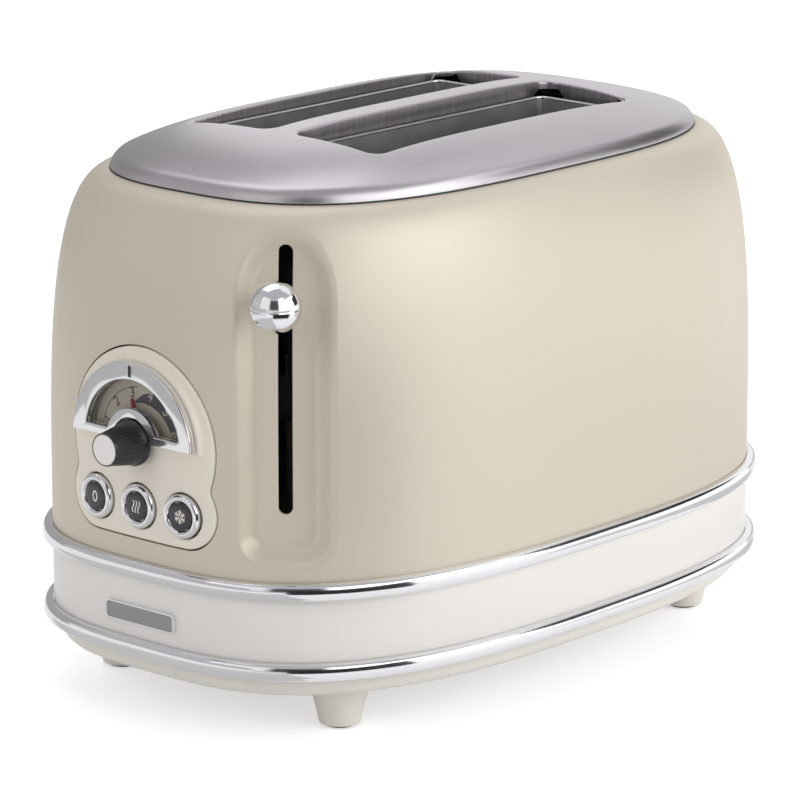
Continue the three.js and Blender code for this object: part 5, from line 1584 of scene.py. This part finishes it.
class TOASTER_OT_buttons(ToasterOperator, bpy.types.Operator):
    """Builds the three chrome push buttons with their signs"""

    bl_idname = "toaster.buttons"
    bl_label = "Buttons"

    def execute(self, context):
        body, dial, tints = self.sizes(context)
        for button in ("stop", "reheat", "defrost"):
            low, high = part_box(button + "_button")
            middle = (-(low.y + high.y) / 2, (low.z + high.z) / 2 - AXIS_Z)
            beside, level = (
                face_level(body, dial, [(middle[0] + step, middle[1])])[0] for step in (MM, 0)
            )
            place = panel_matrix() @ Matrix.Translation((*middle, level))
            place = place @ Matrix.Rotation(math.atan2(level - beside, MM), 4, "Y")
            self.add_ring(button, place, tints)
            level = self.add_disc(button, place, dial, tints)
            self.add_sign(button, place @ Matrix.Translation((0, 0, level)), dial, tints)
        return {"FINISHED"}

    def add_ring(self, button, place, tints):
        low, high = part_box(button + "_button")
        back = (low.x - high.x) / MM + 1.9
        profile = [(0, back), (2.4, back), (2.4, -1.6), (7.9, -1.6), (7.9, 0.3)]
        # The ring's round face: its middle, its half width and its rise, in millimetres
        radius, level, half_width, rise = 6.55, 0.35, 1.35, 1.55
        for turn in range(0, 181, 12):
            share = math.radians(turn)
            profile.append((radius + half_width * math.cos(share), level + rise * math.sin(share)))
        profile += [(5.2, 0.25), (0, 0.25)]
        ring = turned("key_ring_" + button, in_metres(profile), 96, place)
        dress(ring, chrome(tints), button + "_key", button + "_button")

    def add_disc(self, button, place, dial, tints):
        front = 1.5 * MM
        radius = dial.button_insert
        disc = turned("key_disc_" + button, [
            (0, 0.3 * MM), (radius, 0.3 * MM), (radius, front - 0.3 * MM),
            (radius - 0.3 * MM, front - 0.08 * MM), (radius * 0.6, front), (0, front)], 72, place)
        dress(disc, insert_plastic(tints), button + "_key", button + "_insert")
        return front

    def stroke(self, points, width):
        """A flat ribbon along points"""
        left, right = [], []
        for i, point in enumerate(points):
            before = Vector(points[max(i - 1, 0)])
            after = Vector(points[min(i + 1, len(points) - 1)])
            run = (after - before).normalized()
            side = Vector((-run.y, run.x)) * width / 2
            left.append(tuple(Vector(point) + side))
            right.append(tuple(Vector(point) - side))
        return left + right[::-1]

    def add_sign(self, button, place, dial, tints):
        """A plain ring, three waves of heat or a snow star"""
        width = dial.sign_line
        strokes = []
        if button == "stop":
            ring = [(1.0 * math.cos(a) * MM, 1.75 * math.sin(a) * MM)
                    for a in [TURN * i / 48 for i in range(49)]]
            strokes.append(self.stroke(ring, width * 1.25))
        elif button == "reheat":
            for x in (-1.35, 0, 1.35):
                line = [((x + 0.42 * math.sin(TURN * t / 24)) * MM, (2.2 - 4.4 * t / 24) * MM)
                        for t in range(25)]
                strokes.append(self.stroke(line, width))
        else:
            for arm in range(6):
                turn = Matrix.Rotation(TURN * arm / 6, 2)
                lines = [[(0, 0.35), (0, 2.5)], [(-0.75, 2.1), (0, 1.35), (0.75, 2.1)],
                         [(-0.5, 1.25), (0, 0.75), (0.5, 1.25)]]
                for line in lines:
                    points = [tuple(turn @ Vector(p) * MM) for p in line]
                    strokes.append(self.stroke(points, width * 0.75))
        parts = [extruded("sign_part", line, -0.1 * MM, 0.04 * MM, place) for line in strokes]
        sign = join("key_sign_" + button, parts)
        dress(sign, band_plastic(tints), button + "_key")


class TOASTER_OT_lever(ToasterOperator, bpy.types.Operator):
    """Builds the chrome ball of the lever"""

    bl_idname = "toaster.lever"
    bl_label = "Lever"

    def execute(self, context):
        tints = context.scene.toaster_finishes
        middle = (BALL_LOW + BALL_HIGH) / 2
        radius = (BALL_HIGH.z - BALL_LOW.z) / 2
        place = Matrix.Translation((middle.x - CENTRE_X, middle.y, middle.z))
        seam = {0: 0.22, -1: 0.16, 1: 0.16}  # its depth at degrees from the equator
        profile = []
        for turn in [*range(-90, -2, 3), -2, -1, 0, 1, 2, *range(3, 91, 3)]:
            reach = radius - seam.get(turn, 0) * MM
            angle = math.radians(turn)
            across = reach * math.cos(angle) if abs(turn) < 90 else 0
            profile.append((across, reach * math.sin(angle)))
        ball = turned("lever_knob", profile, 120, place)
        dress(ball, chrome(tints), "carriage", "lever_ball", angle=75)
        return {"FINISHED"}


class TOASTER_OT_inside(ToasterOperator, bpy.types.Operator):
    """Builds the element windings, the guide grids and the return spring"""

    bl_idname = "toaster.inside"
    bl_label = "Inside"

    def execute(self, context):
        body = context.scene.toaster_body
        for side in ("near", "far"):
            self.add_rim(body, side)
            for place in ("inner", "outer"):
                self.add_grid(side, place)
        for element in ("near", "centre", "far"):
            self.add_winding(element)
        self.add_spring()
        return {"FINISHED"}

    def wire(self, name, points, radius, sides=10):
        """A round wire along points"""
        rings = []
        normal = None
        for i, point in enumerate(points):
            before = Vector(points[max(i - 1, 0)])
            after = Vector(points[min(i + 1, len(points) - 1)])
            run = (after - before).normalized()
            if normal is None:
                normal = run.orthogonal().normalized()
            normal = (normal - run * normal.dot(run)).normalized()
            other = run.cross(normal)
            rings.append([
                tuple(Vector(point) + radius * (math.cos(TURN * k / sides) * normal
                                                + math.sin(TURN * k / sides) * other))
                for k in range(sides)
            ])
        return loft(name, rings, shift=False)

    def add_rim(self, body, side):
        """The rolled edge of the chassis opening below a bread slot"""
        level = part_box("chassis_top")[1].z
        middle_y = body.bread_slot_y * (1 if side == "far" else -1)
        half_x, half_y = body.chassis_length / 2, body.chassis_width / 2
        roll, gap, corner = 0.55 * MM, 0.4 * MM, 3 * MM
        rings = []
        for turn in range(0, 360, 45):
            out = roll * math.cos(math.radians(turn)) + gap
            outline = rounded_outline(half_x + out, half_y + out, corner + out)
            rise = level + roll * math.sin(math.radians(turn))
            rings.append([(x + SLOT_SHIFT, y + middle_y, rise) for x, y in outline])
        rim = loft("chassis_rim_" + side, rings, wrap=True)
        dress(rim, satin_steel(), "housing")

    def add_grid(self, side, place):
        """Two rails and six upright ribs"""
        count, reach = 6, 59.5 * MM
        node = f"guide_{side}_{place}"
        low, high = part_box(node)
        y = (low.y + high.y) / 2
        radius = (high.y - low.y) / 2
        wires = []
        for z in (low.z + radius, high.z - radius):
            wires.append(self.wire("rail", [(low.x, y, z), (high.x, y, z)], radius))
        first = CENTRE_X + SLOT_SHIFT - reach
        for i in range(count):
            x = first + i * 2 * reach / (count - 1)
            bow = [(x, y, low.z + radius), (x, y, high.z - radius)]
            wires.append(self.wire("rib", bow, radius))
        grid = join("grid_" + side + "_" + place, wires)
        body = "guide_" + side + "_" + ("in" if place == "inner" else "out")
        dress(grid, satin_steel(), body, node)

    def add_winding(self, element):
        """Flat wire that runs up both faces of a mica card"""
        count, half_wide, half_thick, margin = 22, 0.6 * MM, 0.08 * MM, 3 * MM
        low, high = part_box("element_" + element)
        y = (low.y + high.y) / 2
        reach = (high.y - low.y) / 2 + 0.12 * MM
        parts = []
        for i in range(count):
            x = low.x + (high.x - low.x) * (i + 0.5) / count
            for face in (-1, 1):
                outline = box_outline(half_wide, half_thick)
                place = Matrix.Translation((x, y + face * reach, 0))
                ribbon = extruded("ribbon", outline, low.z + margin, high.z - margin, place)
                ribbon.data.transform(Matrix.Translation((-CENTRE_X, 0, 0)))
                parts.append(ribbon)
        winding = join("element_wire_" + element, parts)
        dress(winding, satin_steel(), "housing")

    def add_spring(self):
        """A coil of round wire in the place of the return spring"""
        low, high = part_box("return_spring")
        centre = (low + high) / 2
        margin, wire_radius = 0.5 * MM, 0.45 * MM
        radius = (high.x - low.x) / 2 - margin
        turns, steps = 15, 24
        rise = high.z - low.z - 2 * margin
        points = []
        for i in range(turns * steps + 1):
            share = i / (turns * steps)
            angle = TURN * share * turns
            x, y = centre.x + radius * math.cos(angle), centre.y + radius * math.sin(angle)
            points.append((x, y, low.z + margin + rise * share))
        spring = self.wire("spring_coil", points, wire_radius, sides=8)
        finish_mesh(spring, satin_steel())
        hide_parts("return_spring")
        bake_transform(spring)


class TOASTER_OT_tray(ToasterOperator, bpy.types.Operator):
    """Builds the crumb tray and its front"""

    bl_idname = "toaster.tray"
    bl_label = "Crumb tray"

    def execute(self, context):
        body, _, tints = self.sizes(context)
        low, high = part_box("crumb_tray")
        middle_x, half_x = (low.x + high.x) / 2 - CENTRE_X, (high.x - low.x) / 2
        half_y = high.y
        place = Matrix.Translation((middle_x, 0, 0))
        profile = ((3, 0), (0.6, 0), (0.15, 0.3), (0, 0.9), (0, 4), (0.9, 4), (0.9, 1.6), (1.4, 1),
                   (3, 1))
        rings = []
        for inset, z in profile:
            corner = 3.2 * MM - inset * MM if inset < 2.6 else 0.5 * MM
            outline = rounded_outline(half_x - inset * MM, half_y - inset * MM, corner, 6)
            rings.append([place @ Vector((x, y, low.z + z * MM)) for x, y in outline])
        tray = loft("tray_pan", rings)
        dress(tray, galvanised(tints), "tray", "crumb_tray")
        self.add_door(body, tints)
        return {"FINISHED"}

    def add_door(self, body, tints):
        """The tray's front, flush with the band, and the grip that stands out of it"""
        low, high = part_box("tray_door")
        grip_half, grip_rise = 18 * MM, 3 * MM
        rear = np.linspace(-0.9, 0.9, 2001)
        points = np.array(plan_ring(body, rear, 0, 0))[:, :2]
        front = resampled(points[np.abs(points[:, 1]) <= (high.y - low.y) / 2], 61)
        grip = resampled(points[np.abs(points[:, 1]) <= grip_half], 31)
        middle = (low.z + high.z) / 2
        material = band_plastic(tints)
        plate = self.bent_plate("tray_front", front, (low.z, high.z), 0, 2.2 * MM, 0.5 * MM)
        dress(plate, material, "tray", "tray_door")
        levels = (middle - grip_rise, middle + grip_rise)
        plate = self.bent_plate("tray_grip", grip, levels, 3 * MM, 4 * MM, 1.2 * MM)
        dress(plate, material, "tray")

    def bent_plate(self, name, run, levels, proud, thick, edge):
        """A plate that follows the band between two levels"""
        directions = run / np.linalg.norm(run, axis=1)[:, None]
        outer = run + directions * proud
        inner = run + directions * (proud - thick)
        section = list(outer) + list(inner[::-1])
        plate = loft(name, [[(x, y, z) for x, y in section] for z in levels])
        return soften(plate, edge, 3, 50)


class TOASTER_OT_frame_finishes(ToasterOperator, bpy.types.Operator):
    """Gives the remaining frame nodes their materials"""

    bl_idname = "toaster.frame_finishes"
    bl_label = "Frame finishes"

    def execute(self, context):
        tints = context.scene.toaster_finishes
        kinds = {
            "galvanised": galvanised(tints),
            "satin_metal": satin_steel(),
            "black_plastic": black_plastic(tints),
            "mica": mica(tints),
            "board": board_material(),
            "copper_red": coil_material(),
            "chrome": chrome(tints),
        }
        slots = {part["node"]: part["material_slot"] for part in frame["record"]["subparts"]}
        for name, node in frame["nodes"].items():
            if node.hide_render:
                continue
            finish = kinds.get(slots[name])
            if finish is None:
                raise RuntimeError(f"no finish for {name}, slot {slots[name]}")
            node.data.materials.clear()
            node.data.materials.append(finish)
        return {"FINISHED"}


class TOASTER_PT_pieces(bpy.types.Panel):
    """Lists the toaster's pieces in the sidebar"""

    bl_idname = "TOASTER_PT_pieces"
    bl_label = "Toaster"
    bl_space_type = "VIEW_3D"
    bl_region_type = "UI"
    bl_category = "Toaster"

    def draw(self, context):
        for operator in OPERATORS:
            self.layout.operator(operator.bl_idname)
        for name in ("toaster_body", "toaster_dial", "toaster_finishes", "toaster_studio"):
            group = getattr(context.scene, name)
            column = self.layout.column(align=True)
            for key in group.__annotations__:
                column.prop(group, key)


GROUPS = {
    "toaster_body": ToasterBodySizes,
    "toaster_dial": ToasterDialSizes,
    "toaster_finishes": ToasterFinishes,
    "toaster_studio": ToasterStudio,
}
OPERATORS = (
    TOASTER_OT_stage,
    TOASTER_OT_body_shell,
    TOASTER_OT_steel_top,
    TOASTER_OT_base,
    TOASTER_OT_feet,
    TOASTER_OT_panel,
    TOASTER_OT_dial,
    TOASTER_OT_knob,
    TOASTER_OT_buttons,
    TOASTER_OT_lever,
    TOASTER_OT_inside,
    TOASTER_OT_tray,
    TOASTER_OT_frame_finishes,
)


def register():
    for group in GROUPS.values():
        bpy.utils.register_class(group)
    for name, group in GROUPS.items():
        setattr(bpy.types.Scene, name, PointerProperty(type=group))
    for operator in OPERATORS:
        bpy.utils.register_class(operator)
    bpy.utils.register_class(TOASTER_PT_pieces)


def unregister():
    bpy.utils.unregister_class(TOASTER_PT_pieces)
    for operator in reversed(OPERATORS):
        bpy.utils.unregister_class(operator)
    for name, group in GROUPS.items():
        delattr(bpy.types.Scene, name)
        bpy.utils.unregister_class(group)


def main():
    register()
    for operator in OPERATORS:
        group, name = operator.bl_idname.split(".")
        getattr(getattr(bpy.ops, group), name)()


if __name__ == "__main__":
    main()
